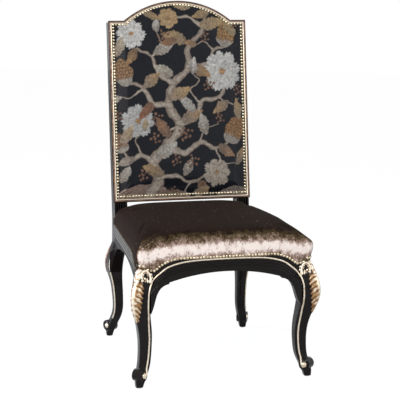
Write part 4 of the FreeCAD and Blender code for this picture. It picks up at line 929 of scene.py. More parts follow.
class CARVE_OT_chair_carving(bpy.types.Operator):
    """Gilt acanthus leaves and scrolls on the knees, and the balls of the toes"""
    bl_idname = "chair.carving"
    bl_label = "Carving"
    # Share of a leaf's length, and of its greatest half width
    LEAF = (
        (0.0, 0.62), (0.10, 0.90), (0.25, 1.0), (0.45, 0.92), (0.65, 0.72), (0.82, 0.45), (0.94, 0.22),
        (1.0, 0.04),
    )
    # The scroll that rises from the bead, round the hollow and down to its inner curl
    SCROLL = (
        (0.2455, 0.3360), (0.2435, 0.3490), (0.2475, 0.3640), (0.2575, 0.3715), (0.2670, 0.3680),
        (0.2715, 0.3580), (0.2705, 0.3460),
    )
    # Small leaves round it: across, up, half width, half height, how proud, and turn
    SPRIGS = (
        (0.2760, 0.3720, 0.0070, 0.0045, 0.0050, 0.5), (0.2740, 0.3610, 0.0060, 0.0042, 0.0048, 0.2),
        (0.2760, 0.3510, 0.0068, 0.0044, 0.0050, -0.2), (0.2700, 0.3410, 0.0060, 0.0042, 0.0046, -0.6),
        (0.2615, 0.3480, 0.0042, 0.0048, 0.0046, 0.0), (0.2400, 0.3600, 0.0050, 0.0034, 0.0034, 0.8),
        (0.2375, 0.3500, 0.0048, 0.0032, 0.0030, 1.1), (0.2530, 0.3390, 0.0036, 0.0060, 0.0034, 0.2),
    )
    HOLLOW = (0.2580, 0.3560, 0.0072, 0.0108, 0.0042, 0.0)
    EYE_HEIGHT = 0.039

    def execute(self, context):
        trim = context.scene.chair_trim
        gold = bpy.data.materials["gold_leaf_over_bole"]
        bronze = bronze_gilding(context.scene.chair_looks)
        black = bpy.data.materials["ebonised_beech_polished"]
        for side, sign in SIDES:
            leg = surface_of("front_leg_" + side)
            post = surface_of("back_post_" + side)
            scroll = curve_through([(x, 0, z) for x, z in self.SCROLL], 9)
            thick = [0.0044 * (1 - 0.30 * k / len(scroll)) for k in range(len(scroll))]
            lumps = [(p.x, p.z, t, t, 0.0050, 0.0) for p, t in zip(scroll, thick)]
            for name, mesh, finish, slot in (
                ("acanthus_leaf_", self.leaf(leg, FRONT_KNEE, sign, trim, 0.340, 0.134, 1.0), gold, GILT),
                ("rear_knee_leaf_", self.leaf(post, REAR_KNEE, sign, trim, 0.322, 0.100, 0.62), bronze, GILT),
                ("knee_ground_", self.knee_ground(leg, sign), gold, GILT),
                ("knee_scrolls_", self.lumps("knee_scrolls", leg, sign, lumps + list(self.SPRIGS)), gold, GILT),
                ("knee_hollow_", self.lumps("knee_hollow", leg, sign, [self.HOLLOW]), black, "ebonised_frame"),
            ):
                new_piece(name + side, mesh, finish, slot)
        places, facings = [], []
        for sign in (-1, 1):
            for (x, y), splay, ahead, toe, aside in (
                (FRONT_LEG, FRONT_SPLAY, -1, FRONT_TOE, 0.0150), (REAR_LEG, REAR_SPLAY, 1, REAR_TOE, 0.0117),
            ):
                outward = outward_of(splay, sign, ahead)
                across = Vector((outward.y, -outward.x, 0))
                middle = Vector((x * sign, y, self.EYE_HEIGHT)) + outward * toe * 0.9
                places += [middle - across * aside, middle + across * aside]
                facings += [-across, across]
        grown(
            head_tree(), facing_points("toe_eyes", places, facings), "toe_eyes", GILT,
            Radius=trim.eye_radius, Dome=trim.eye_radius, Sides=14, Finish=gold,
        )
        return {"FINISHED"}

    def on_knee(self, surface, knee, sign, z, turn):
        """The point on a leg at a height, at a turn from its outer corner towards its side, and its normal."""
        (x, y), splay, ahead, sweep = knee
        shift = at(z, [(a * MM, b * MM) for a, b in reversed(sweep)])
        middle = Vector((x * sign, y, z)) + outward_of(splay, sign, ahead) * shift
        corner = outward_of(math.radians(45), sign, ahead)
        aim = Matrix.Rotation(-turn * sign * ahead, 3, "Z") @ corner
        return hit(surface, middle + aim * 0.2, -aim)

    def leaf(self, surface, knee, sign, trim, top, length, share):
        """An acanthus leaf that hangs from the top of the knee down its outer corner."""
        rows, columns = 110, 25
        reliefs = []

        def place(i, j):
            u = i / (rows - 1)
            v = -1 + 2 * j / (columns - 1)
            phase = u * trim.leaflets - abs(v) * 1.35
            lobe = (0.5 + 0.5 * math.cos(2 * math.pi * phase + 0.5 * math.sin(5 * u))) ** 0.38
            edge = 0.5 + 0.5 * math.cos(2 * math.pi * (u * trim.leaflets - 1.35))
            reach = at(u, self.LEAF) * (0.80 + 0.20 * edge)
            turn = math.radians(-50 if v < 0 else 46) * abs(v) * reach * share
            spot, normal = self.on_knee(surface, knee, sign, top - length * u, turn)
            rib = math.exp(-(v / 0.20) ** 2) * (0.85 + 0.15 * math.sin(46 * u))
            body = lobe * min(1.0, abs(v) * 2.4) * (0.86 + 0.14 * math.sin(31 * u + 9 * v))
            fade = min(1.0, (1 - abs(v)) * 7 + 0.1) * min(1.0, u * 14 + 0.2) * min(1.0, (1 - u) * 12 + 0.15)
            # Lower parts of the leaf get less tone: toning and painted shade in its hollows
            reliefs.append(((0.85 if abs(v) < 0.4 else 0.62) * body + 0.9 * rib) * fade * 0.50 - 0.05)
            height = (0.18 + 0.62 * body + 0.45 * rib) * fade
            return spot + normal * (trim.leaf_relief * share * height + 0.0002), spot - normal * 0.0012

        return self.carved(closed_sheet("acanthus_leaf", rows, columns, place), reliefs)

    def knee_ground(self, surface, sign):
        """Low gilt carving that fills the top of the knee between its nails, its bead and its leaf."""
        rows, columns = 22, 56
        reliefs = []

        def place(i, j):
            u = i / (rows - 1)
            turn = math.radians(-62 + 108 * j / (columns - 1))
            guess, _ = self.on_knee(surface, FRONT_KNEE, sign, 0.372, turn)
            hem = front_hem(guess.x) if turn < 0 else side_hem(guess.y)
            high = hem - HEM_MARGIN - 0.0006
            low = 0.334
            if turn < math.radians(-14):
                low = 0.351 if turn > math.radians(-44) else 0.341
            low += 0.003 * math.sin(turn * 17)
            spot, normal = self.on_knee(surface, FRONT_KNEE, sign, high + (low - high) * u, turn)
            swirl = math.sin(turn * 11 + u * 7) * math.sin(u * 9 - turn * 6)
            rim = min(1.0, u * 6, (1 - u) * 6, j / 3, (columns - 1 - j) / 3)
            # Lower parts of the swirls get less tone: toning and painted shade
            reliefs.append(0.10 + 0.40 * abs(swirl))
            return spot + normal * (0.0002 + (0.0006 + 0.0014 * abs(swirl)) * rim), spot - normal * 0.0010

        return self.carved(closed_sheet("knee_ground", rows, columns, place), reliefs)

    def carved(self, mesh, reliefs):
        """Keep how far each point of a sheet stands proud, for the gilder's toning and the painted shade in its
        hollows.
        """
        keep(mesh, "relief", reliefs * 2)
        return tidy(mesh)

    def lumps(self, name, surface, sign, places, rings=6, sides=16):
        """Low oval lumps on the front of a leg's top."""
        shape = bmesh.new()
        layer = shape.verts.layers.float.new("relief")
        for x, z, wide, high, proud, turn in places:
            rows = []
            for i in range(rings + 1):
                r = i / rings
                dome = math.sqrt(max(0.0, 1 - r * r))
                row = []
                for k in range(sides):
                    px = wide * r * math.cos(2 * math.pi * k / sides)
                    pz = high * r * math.sin(2 * math.pi * k / sides)
                    qx = x + px * math.cos(turn) - pz * math.sin(turn)
                    qz = z + px * math.sin(turn) + pz * math.cos(turn)
                    spot, normal, _, _ = surface.find_nearest(Vector((qx * sign, FRONT_Y - 0.004, qz)))
                    vert = shape.verts.new(spot + normal * (dome * proud - (0.0008 if i == rings else 0)))
                    # Each lump gets less tone towards its rim: toning and painted shade
                    vert[layer] = 0.25 + 0.5 * dome
                    row.append(vert)
                rows.append(row)
            for a, b in zip(rows, rows[1:]):
                for k in range(sides):
                    n = (k + 1) % sides
                    shape.faces.new((a[k], a[n], b[n], b[k]))
            shape.faces.new(rows[-1])
        for face in shape.faces:
            face.smooth = True
        return closed(shape, name)


def panel_sizes(inset):
    """The back panel inset from its edge: half width, foot, shoulder, and the arch's radius and half width."""
    high = SHOULDER - inset
    radius = ARCH_RADIUS - inset
    end = math.sqrt(radius ** 2 - (high - ARCH_CENTRE) ** 2)
    return PANEL_HALF - inset, PANEL_LOW + inset, high, radius, end


def panel_outline(inset, arch_steps=48, straight_steps=24):
    """The outline of the back panel inset from its edge: across and up, from the lower left."""
    half, low, high, radius, end = panel_sizes(inset)
    sweep = math.asin(end / radius)

    def straights(*corners):
        shares = [k / straight_steps for k in range(straight_steps)]
        return [
            (a[0] + (b[0] - a[0]) * t, a[1] + (b[1] - a[1]) * t)
            for a, b in zip(corners, corners[1:]) for t in shares
        ]

    points = straights((-half, low), (half, low), (half, high), (end, high))
    for k in range(arch_steps):
        turn = sweep - 2 * sweep * k / arch_steps
        points.append((radius * math.sin(turn), ARCH_CENTRE + radius * math.cos(turn)))
    return points + straights((-end, high), (-half, high), (-half, low))


class TRIM_OT_chair_mouldings(bpy.types.Operator):
    """Reeded gilt mouldings round the front of the back"""
    bl_idname = "chair.mouldings"
    bl_label = "Back mouldings"

    def execute(self, context):
        sides = ["back_moulding_" + s for s in ("left", "right", "top", "bottom")]
        # Each profile is inset from the outer edge and height off the post, in millimetres
        edge = [(0.0, 0.1), (0.0, 3.6), (0.5, 4.3), (1.3, 4.4), (1.9, 3.9), (2.1, 0.1)]
        outer = [(2.1, 0.1)] + self.reed(4.4, 2.2, 3.6) + [(6.6, 0.1)]
        inner = [(6.6, 0.1)] + self.reed(8.7, 2.1, 3.9) + [(10.9, 0.1)]
        for name, profile, finish, slot, replaced in (
            ("moulding_edge", edge, "ebonised_beech_polished", "ebonised_frame", ()),
            ("moulding_outer_reed", outer, "bronze_paint_varnished", GILT, ()),
            ("moulding_inner_reed", inner, "gold_leaf_over_bole", GILT, sides),
        ):
            new_piece(name, self.run(name, profile), bpy.data.materials[finish], slot, replaced)
        return {"FINISHED"}

    def reed(self, middle, radius, base):
        """A half-round reed on a base."""
        return [
            (middle - radius * math.cos(math.pi * k / 8), base + radius * math.sin(math.pi * k / 8))
            for k in range(9)
        ]

    def run(self, name, profile):
        """Sweep a closed profile round the panel, mitred at its corners."""
        rings = [
            [on_back(x, -height * MM, w) for x, w in panel_outline(inset * MM)] for inset, height in profile
        ]
        count = len(rings[0])
        total = count * len(rings)
        faces = [[k % total for k in quad] for quad in net_faces(len(rings) + 1, count, ring=True)]
        mesh = raw_mesh(name, [p for ring in rings for p in ring], faces)
        # Lower parts of a profile get less tone: toning and painted shade where the reeds meet the post
        tallest = max(height for _, height in profile)
        keep(mesh, "relief", [0.55 * height / tallest for _, height in profile for _ in range(count)])
        tidy(mesh).set_sharp_from_angle(angle=math.radians(50))
        return mesh


def fill_out(thing, held, pressure, most, frames=20):
    """Let filling press a pad's cloth outwards, with some points held and no point moving too far."""
    scene = bpy.context.scene
    group = thing.vertex_groups.new(name="held")
    group.add(held, 1.0, "REPLACE")
    cloth = thing.modifiers.new("Filling", "CLOTH")
    cloth.settings.vertex_group_mass = "held"
    cloth.settings.use_pressure = True
    cloth.settings.uniform_pressure_force = pressure
    cloth.settings.effector_weights.gravity = 0
    cloth.settings.quality = 5
    cloth.settings.mass = 0.3
    cloth.collision_settings.use_collision = False
    cloth.point_cache.frame_start = 1
    cloth.point_cache.frame_end = frames
    for number in range(1, frames + 1):
        scene.frame_set(number)
    graph = bpy.context.evaluated_depsgraph_get()
    after = thing.evaluated_get(graph).data
    moved = [v.co.copy() for v in after.vertices]
    thing.modifiers.remove(cloth)
    for vert, place in zip(thing.data.vertices, moved):
        step = place - vert.co
        if step.length > most:
            step.length = most
        vert.co += step
    thing.vertex_groups.clear()
    scene.frame_set(1)


def finer(thing):
    """One level of subdivision, made part of the mesh."""
    extra = thing.modifiers.new("Finer", "SUBSURF")
    extra.levels = 1
    extra.render_levels = 1
    applied(thing)


def covered(thing, cloth, slot, replaced):
    """Finish an upholstered pad."""
    thing.data.materials.clear()
    thing.data.materials.append(cloth)
    thing.data.shade_smooth()
    settle(thing, slot, replaced)


class PAD_OT_chair_seat(bpy.types.Operator):
    """Velvet seat, crowned and drawn in at its nails"""
    bl_idname = "chair.seat"
    bl_label = "Seat"
    # Quads along the front and rear, and along the sides, between the corners
    ACROSS = 56
    ALONG = 48
    # How far the cover lies inside the section before its filling presses it out
    SHRINK = 0.003
    # Height off the floor, and how strong the painted sheen is there on the front
    SHEEN_BY_HEIGHT = (
        (0.370, 0.60), (0.405, 0.46), (0.413, 0.60), (0.421, 0.80), (0.430, 0.99), (0.440, 0.99), (0.446, 0.84),
        (0.452, 0.62), (0.458, 0.46), (0.466, 0.36), (0.472, 0.27), (0.478, 0.18), (0.484, 0.07),
    )

    def execute(self, context):
        pads = context.scene.chair_pads
        velvet = crushed_velvet(context.scene.chair_looks)
        section = curve_through(curve_through([(i, 0, h) for h, i in SEAT_SECTION], 1), 6)
        section = self.even([(p.x * pads.crown_inset, p.z * pads.seat_rise) for p in section], 0.008)
        low = section[0][1] + FRAME_TOP
        # From the middle of the inside out to the nails, then up the outside to the crown
        rows = [self.ring(inset, z) for inset, z in ((0.080, 0.4350), (0.009, 0.4348), (0.004, 0.4306))]
        rows += [self.ring(0.002, 0.4304, k / 3) for k in (3, 2, 1, 0)]
        rows += [self.ring(0.0, low, k / 4) for k in range(4)]
        for inset, rise in section:
            sink = self.SHRINK * clamped((rise + 0.012) / 0.04)
            rows.append(self.ring(inset + sink * 0.5, FRAME_TOP + rise - sink))
        count = len(rows[0])
        points = [p for row in rows for p in row]
        faces = net_faces(len(rows), count, ring=True)
        for first in (0, (len(rows) - 1) * count):
            self.patch(points, faces, first)
        seat = linked("velvet_seat", tidy(raw_mesh("velvet_seat", points, faces)))
        held = [
            v.index for v in seat.data.vertices
            if v.co.z < FRAME_TOP - 0.004 or v.co.z < 0.4352 and abs(v.normal.z) > 0.7
        ]
        fill_out(seat, held, pads.pressure, 0.007)
        finer(seat)
        self.notch(seat)
        self.mark_painted_sheen(seat.data)
        covered(seat, velvet, "velvet", ["seat_cover", "seat_wadding", "seat_foam"])
        return {"FINISHED"}

    def even(self, points, step):
        """Points of a section about a step apart, with its first and last."""
        kept = [points[0]]
        for p in points[1:-1]:
            if math.hypot(p[0] - kept[-1][0], p[1] - kept[-1][1]) >= step * 0.75:
                kept.append(p)
        kept.append(points[-1])
        return kept

    def hem(self, x, y):
        """Lower edge of the cover at a point on its outside."""
        if y < FRONT_Y + 0.002:
            return front_hem(x) - HEM_MARGIN
        if y > POST_Y - 0.001:
            return HEM_LEVEL - HEM_MARGIN
        return side_hem(y) - HEM_MARGIN

    def ring(self, inset, height, share=1.0):
        """Points round the seat at an inset from its outside, a share of the way from its hem to a height."""
        front = FRONT_Y - SKIN + inset
        rear = REAR_RAIL_Y + SKIN - inset
        wide = side_x(front) + SKIN - inset
        narrow = side_x(rear) + SKIN - inset
        radius = min(0.0223 + 2.5 * max(inset, 0), 0.110, 0.85 * narrow)
        corners = [Vector(c) for c in ((-wide, front), (wide, front), (narrow, rear), (-narrow, rear))]
        arcs = []
        for i, corner in enumerate(corners):
            back = (corners[i - 1] - corner).normalized()
            ahead = (corners[(i + 1) % 4] - corner).normalized()
            half = back.angle(ahead) / 2
            centre = corner + (back + ahead).normalized() * (radius / math.sin(half))
            start = corner + back * (radius / math.tan(half)) - centre
            sweep = math.pi - 2 * half
            arcs.append([centre + Matrix.Rotation(sweep * k / 12, 2) @ start for k in range(13)])
        points = []
        for i, arc in enumerate(arcs):
            points.extend(arc)
            ahead = arcs[(i + 1) % 4][0]
            count = (self.ACROSS, self.ALONG)[i % 2]
            points.extend(arc[-1] + (ahead - arc[-1]) * k / count for k in range(1, count))
        ring = []
        for p in points:
            hem = self.hem(p.x, p.y) if share < 1 else height
            ring.append(self.full_corner(Vector((p.x, p.y, hem + (height - hem) * share))))
        return ring

    def full_corner(self, p):
        """A front corner swells over its nails, and its top falls away sooner than the rest."""
        aside = side_x(p.y) - abs(p.x)
        behind = p.y - FRONT_Y
        near = math.exp(-(aside / 0.060) ** 2 - (behind / 0.055) ** 2)
        rise = (p.z - FRAME_TOP) / 0.055
        swell = 0.0080 * near * math.exp(-((rise + 0.32) / (0.42 if rise > -0.32 else 0.22)) ** 2)
        fall = 0.011 * near * clamped(rise / 0.8)
        # Between its corners the edge of a side stands a little higher
        along = clamped(behind / (POST_Y - FRONT_Y))
        lift = 0.0065 * math.exp(-(max(0.0, aside) / 0.075) ** 2) * math.sin(math.pi * along) ** 0.8
        lift *= clamped(rise / 0.5)
        sign = 1 if p.x > 0 else -1
        return Vector((p.x + sign * swell * 0.7071, p.y - swell * 0.7071, p.z - fall + lift))

    def patch(self, points, faces, first):
        """Fill the ring that starts at a point with a net of quads between its four corners."""
        across, along = self.ACROSS + 12, self.ALONG + 12
        count = 2 * (across + along)
        ring = points[first:first + count]
        near = [(6 + i) % count for i in range(across + 1)]
        right = [(6 + across + j) % count for j in range(along + 1)]
        far = [(6 + across + along + across - i) % count for i in range(across + 1)]
        left = [(6 - j) % count for j in range(along + 1)]
        net = []
        for j in range(along + 1):
            v = j / along
            row = []
            for i in range(across + 1):
                u = i / across
                edge = {0: near[i], along: far[i]}.get(j)
                edge = {0: left[j], across: right[j]}.get(i, edge)
                if edge is not None:
                    row.append(first + edge)
                    continue
                place = ring[near[i]] * (1 - v) + ring[far[i]] * v
                place += ring[left[j]] * (1 - u)
                place += ring[right[j]] * u
                place -= (ring[near[0]] * (1 - u) + ring[near[-1]] * u) * (1 - v)
                place -= (ring[far[0]] * (1 - u) + ring[far[-1]] * u) * v
                row.append(len(points))
                points.append(place)
            net.append(row)
        for a, b in zip(net, net[1:]):
            faces.extend([a[i], a[i + 1], b[i + 1], b[i]] for i in range(across))

    def notch(self, seat):
        """Cut the seat round both back posts."""
        for sign in (-1, 1):
            shape = bmesh.new()
            bmesh.ops.create_cube(shape, size=1.0)
            for v in shape.verts:
                v.co = Vector((
                    sign * (POST_INNER_X - 0.0004 + 0.05 + v.co.x * 0.1), POST_Y - 0.0004 + 0.05 + v.co.y * 0.1,
                    0.43 + v.co.z * 0.3,
                ))
            block = linked("notch", closed(shape, "notch"))
            cut = seat.modifiers.new("Notch", "BOOLEAN")
            cut.operation = "DIFFERENCE"
            cut.solver = "EXACT"
            cut.object = block
            applied(seat)
            bpy.data.objects.remove(block)

    def mark_painted_sheen(self, mesh):
        """Painted sheen at each point: 0 where the velvet is dark on top, 1 where the painted highlight is
        palest on the roll.
        """
        mesh.update()
        values = []
        for v in mesh.vertices:
            # The painted highlight band lies lower towards the corners, as the nails do
            lower = 0.014 * clamped((abs(v.co.x) - 0.17) / 0.08)
            share = at(v.co.z + lower + 0.0035, self.SHEEN_BY_HEIGHT)
            level = math.hypot(v.normal.x, v.normal.y)
            forward = -v.normal.y / level if level > 1e-4 else 0.0
            front = clamped((forward - 0.30) / 0.45)
            upward = clamped((v.normal.z - 0.80) / 0.18)
            front = max(front, upward * 0.9) if v.co.y < FRONT_Y + 0.12 else front * (1 - upward)
            values.append(share * (0.10 + 0.90 * front))
        keep(mesh, "nap", values)


class Design:
    """A brocaded design, drawn on the points of a cloth by their place across and up."""

    def __init__(self, x, w, ground):
        # A slight waver, as a drawn line has
        self.x = x + 0.0016 * np.sin(w * 148 + 1.3) + 0.0010 * np.sin(x * 260 + w * 95)
        self.w = w + 0.0015 * np.sin(x * 131 + 0.4) + 0.0011 * np.sin(w * 233 - x * 120)
        self.colour = np.tile(np.array(ground[:3]), (len(x), 1))
        self.raised = np.zeros(len(x))
        self.blur = 0.0011

    def lay(self, depth, colour):
        """Lay a colour where a depth inside a figure, in metres, is above nought."""
        share = np.clip(depth / self.blur + 0.5, 0, 1)
        self.colour = self.colour * (1 - share[:, None]) + colour * share[:, None]
        self.raised = np.maximum(self.raised, share)

    def tone(self, one, other, share):
        """Colours between two hex colours."""
        a = np.array(linear(one)[:3])
        b = np.array(linear(other)[:3])
        share = np.clip(share, 0, 1)[:, None]
        mixed = a * (1 - share) + b * share
        return mixed * 0.76 + mixed.mean(axis=1)[:, None] * 0.24

    def local(self, x, w, turn):
        """Places along and across a direction from a point."""
        c, s = math.cos(turn), math.sin(turn)
        return (self.x - x) * c + (self.w - w) * s, (self.w - w) * c - (self.x - x) * s

    def stem(self, points, first, last, light="#a99d8f", dark="#6f5b4d"):
        """A stem or branch that tapers along a smooth line."""
        line = [(p.x, p.y) for p in curve_through([(x * MM, w * MM, 0) for x, w in points], 8)]
        depth = np.full(len(self.x), -1.0)
        place = np.zeros(len(self.x))
        lengths = [0.0]
        for a, b in zip(line, line[1:]):
            lengths.append(lengths[-1] + math.hypot(b[0] - a[0], b[1] - a[1]))
        for k, (a, b) in enumerate(zip(line, line[1:])):
            dx, dw = b[0] - a[0], b[1] - a[1]
            run = dx * dx + dw * dw
            t = np.clip(((self.x - a[0]) * dx + (self.w - a[1]) * dw) / run, 0, 1)
            away = np.hypot(self.x - a[0] - t * dx, self.w - a[1] - t * dw)
            share = (lengths[k] + t * math.sqrt(run)) / lengths[-1]
            inside = (first + (last - first) * share) * MM / 2 - away
            better = inside > depth
            depth = np.where(better, inside, depth)
            place = np.where(better, share * lengths[-1], place)
        middle = depth / (first * MM / 2)
        bark = 0.5 + 0.5 * np.sin(place * 900 + depth * 2600)
        self.lay(depth, self.tone(dark, light, middle * 1.6 + 0.25 * bark))

    def leaf(self, x, w, turn, length, width, base="#8d8176", tip="#b29a72", lobes=6):
        """A lobed leaf with a light rib and side veins."""
        along, across = self.local(x * MM, w * MM, math.radians(turn))
        t = along / (length * MM)
        inside = (t > 0) & (t < 1)
        safe = np.clip(t, 0.0001, 0.9999)
        saw = np.abs(np.sin(lobes * math.pi * safe))
        half = width * MM / 2 * np.sin(math.pi * safe ** 0.8) ** 0.8 * (0.82 + 0.18 * saw)
        depth = np.where(inside, half - np.abs(across), -1)
        vein = 0.5 + 0.5 * np.cos(2 * math.pi * (safe * lobes * 1.2 - np.abs(across) / (width * MM) * 2.2))
        rib = np.exp(-(across / 0.0016) ** 2)
        self.lay(depth, self.tone(base, tip, safe * 0.9 + 0.35 * vein - 0.2 + 0.5 * rib))

    def blossom(self, x, w, radius, petals, outer="#c3c4c1", inner="#7c736b", heart="#8b5d3c", turn=0.0):
        """An open flower with rings of crinkled petals, dark between them."""
        dx, dw = self.x - x * MM, self.w - w * MM
        far = np.hypot(dx, dw)
        angle = np.arctan2(dw, dx) + turn
        for ring, size in enumerate((1.0, 0.79, 0.57, 0.36)):
            around = angle + (ring % 2) * math.pi / petals + 0.12 * np.sin(angle * 3 + ring)
            lobe = np.abs(np.cos(around * petals / 2))
            frill = 0.045 * np.cos(around * petals * 5 + 2 * np.sin(angle * 2))
            edge = radius * MM * size * (0.74 + 0.24 * lobe ** 0.5 + frill)
            streak = 0.5 + 0.5 * np.cos(around * petals * 3)
            share = np.clip(far / edge, 0, 1)
            light = share ** 1.3 * (0.45 + 0.55 * lobe ** 0.6) + 0.22 * streak - 0.06 + 0.05 * ring
            self.lay(edge - far, self.tone(inner, outer, light))
        self.lay(radius * MM * 0.15 - far, self.tone(heart, "#c29a62", 0.5 + 0.5 * np.cos(angle * 9)))

    def bud(self, x, w, turn, length, width, light="#b08a55", dark="#7a5230"):
        """A scaly pomegranate bud in a grey cup."""
        along, across = self.local(x * MM, w * MM, math.radians(turn))
        t = along / (length * MM)
        safe = np.clip(t, 0.0001, 0.9999)
        half = width * MM / 2 * np.sin(math.pi * safe ** 0.9) ** 0.55
        depth = np.where((t > 0) & (t < 1), half - np.abs(across), -1)
        rows = along / 0.011
        shift = np.where(np.floor(rows) % 2 == 0, 0.0, 0.5)
        column = across / 0.010 + shift
        scale = np.abs(column - np.round(column)) * 1.4 + (rows - np.floor(rows)) * 0.7
        self.lay(depth, self.tone(light, dark, scale))
        rim = 0.34 - 0.10 * np.abs(np.sin(across * 420))
        cup = np.where((t > 0) & (t < rim), half * 1.04 - np.abs(across), -1)
        self.lay(cup, self.tone("#7f766e", "#a8a196", 0.5 + 0.5 * np.cos(across * 1500)))

    def berries(self, x, w, radius, count, light="#96705a", dark="#5b4034", spread=1.5):
        """A spray of small round berries set in a sunflower's spiral."""
        for k in range(count):
            turn = k * 2.39996
            reach = radius * spread * math.sqrt(k)
            bx = (x + reach * math.cos(turn)) * MM
            bw = (w + reach * math.sin(turn)) * MM
            far = np.hypot(self.x - bx, self.w - bw)
            self.lay(radius * MM - far, self.tone(light, dark, far / (radius * MM)))

    def mound(self, x, w, wide, high, light="#a1887a", dark="#7c6659"):
        """A rounded bank, hatched in arcs."""
        dx, dw = (self.x - x * MM) / (wide * MM), (self.w - w * MM) / (high * MM)
        far = np.hypot(dx, dw)
        depth = (1 - far) * min(wide, high) * MM
        self.lay(depth, self.tone(dark, light, 0.5 + 0.5 * np.sin(far * 46 + dx * 5)))


def draw_flowering_tree(d):
    """A flowering tree of stock crewel-work forms: a winding stem, leaves, buds, blossoms and banks."""
    d.mound(-132, 62, 96, 46)
    d.mound(-30, 56, 58, 30, light="#94836f")
    d.mound(190, 52, 70, 40, light="#8f8177", dark="#6d6158")
    trunk = (
        (-120, 66), (-84, 122), (-100, 184), (-50, 242), (-6, 302), (-42, 370), (-26, 442), (28, 498),
        (30, 566), (82, 626), (96, 692),
    )
    for first, last, *branches in (
        (42, 14, trunk),
        (26, 9, ((-56, 232), (10, 212), (64, 246), (118, 224), (172, 248))),
        (20, 7, ((-96, 172), (-140, 208), (-176, 192), (-206, 226))),
        (24, 9, ((-12, 312), (46, 328), (76, 386), (132, 396), (168, 448))),
        (22, 8, ((-38, 374), (-98, 382), (-134, 438), (-192, 450))),
        (20, 7, ((-24, 448), (-74, 480), (-98, 538), (-148, 566))),
        (18, 7, ((28, 502), (92, 510), (122, 558), (170, 572))),
        (17, 7, ((-86, 128), (-24, 134), (26, 110), (80, 132))),
        (13, 6, ((86, 634), (32, 672), (-30, 662))),
        (7, 3, ((70, 380), (34, 420), (66, 458), (40, 482)), ((-138, 206), (-160, 256), (-128, 290)),
         ((-130, 432), (-172, 404), (-206, 402)), ((118, 226), (140, 178), (196, 168)),
         ((-98, 538), (-60, 574), (-78, 620)), ((122, 556), (88, 586), (60, 580)),
         ((62, 244), (84, 292), (132, 304)), ((26, 112), (10, 78), (52, 66)),
         ((132, 396), (184, 372), (208, 392)), ((-6, 300), (-66, 290), (-88, 320))),
    ):
        for branch in branches:
            d.stem(branch, first, last)
    d.blossom(148, 486, 70, 9, turn=0.4)
    d.blossom(-152, 322, 57, 8, outer="#b1b3b2", inner="#75695f", turn=0.2)
    d.blossom(120, 140, 48, 7, outer="#b0a596", inner="#6f5a4b", heart="#6d4630")
    d.blossom(-166, 616, 50, 8, outer="#cbccca", inner="#8a827a", turn=0.9)
    d.blossom(-36, 668, 35, 7, outer="#b39566", inner="#7a5936", heart="#4f3a29", turn=0.5)
    d.bud(168, 238, 66, 102, 70)
    d.bud(-186, 440, 102, 94, 62, light="#ad8b5a", dark="#6f4a34")
    d.bud(156, 566, 78, 92, 64, light="#b8945c", dark="#7d5732")
    d.bud(-200, 216, 112, 72, 48, light="#a08466", dark="#6e4f3d")
    for x, w, turn, length, width, base, tip in (
        (-66, 138, 156, 82, 42, "#77665a", "#a98a58"), (-92, 196, 34, 90, 44, "#8d8378", "#bab7b0"),
        (-40, 262, 124, 84, 40, "#6c5b50", "#9f6f46"), (0, 318, 24, 84, 44, "#7d7168", "#a6855c"),
        (48, 350, 132, 76, 36, "#8b847b", "#bab9b4"), (-46, 396, 22, 92, 46, "#8a7b6c", "#ab8a54"),
        (-98, 384, 230, 74, 36, "#745a4b", "#915a3a"), (-24, 474, 152, 76, 38, "#8a8279", "#b6ae9a"),
        (40, 508, 330, 80, 40, "#7b6b5d", "#a67f4c"), (26, 590, 164, 92, 46, "#83735e", "#ad8b55"),
        (72, 640, 12, 96, 44, "#8a7a62", "#b59660"), (84, 270, 100, 78, 38, "#85796d", "#b2aea6"),
        (128, 236, 322, 72, 36, "#77685c", "#9c7650"), (-168, 200, 204, 62, 32, "#7c7066", "#a19687"),
        (-206, 248, 58, 70, 36, "#867a6d", "#b1976c"), (-128, 436, 40, 76, 38, "#837669", "#a98756"),
        (-90, 548, 28, 82, 40, "#857b71", "#b8b1a6"), (-148, 566, 236, 66, 34, "#6d5a4a", "#a37c48"),
        (196, 606, 118, 74, 34, "#8b7d68", "#b3935c"), (168, 386, 218, 70, 34, "#7f7268", "#a68557"),
        (196, 168, 66, 60, 32, "#7d7066", "#a3835a"), (6, 134, 64, 66, 34, "#80746a", "#b1aba1"),
        (52, 116, 312, 60, 30, "#735f50", "#95683f"), (-204, 402, 194, 40, 26, "#8c8378", "#c1beb6"),
        (-128, 290, 88, 40, 24, "#85796c", "#b39a6c"), (44, 478, 84, 60, 32, "#857c72", "#bdbbb6"),
        (-216, 540, 72, 72, 32, "#84776a", "#b2a48a"), (208, 322, 98, 74, 32, "#8a7d6b", "#b0905d"),
        (-216, 116, 58, 66, 32, "#7f7469", "#aea89e"), (36, 68, 20, 66, 30, "#807264", "#a68a60"),
        (-8, 596, 196, 58, 30, "#745f4f", "#96693f"), (-78, 620, 92, 50, 28, "#857a6e", "#b5b2ac"),
        (60, 580, 176, 44, 26, "#7d6c5c", "#a1774a"), (112, 690, 196, 66, 32, "#83745f", "#ab8a57"),
        (44, 704, 168, 70, 30, "#8a7b66", "#b1925f"), (-120, 690, 338, 62, 28, "#7f7160", "#aa8857"),
    ):
        d.leaf(x, w, turn, length, width, base, tip)
    for x, w, radius, count in (
        (14, 276, 5.4, 10), (-84, 330, 4.8, 9), (98, 440, 4.6, 9), (-92, 262, 5.0, 7), (-58, 608, 4.6, 9),
        (206, 424, 4.4, 8), (36, 182, 5.0, 9), (-216, 340, 4.2, 7), (92, 604, 4.4, 8), (-138, 140, 4.6, 9),
        (-20, 186, 4.4, 8), (136, 326, 4.2, 8), (-212, 672, 3.6, 5), (196, 648, 4.2, 7), (-34, 88, 4.0, 6),
    ):
        d.berries(x, w, radius, count)


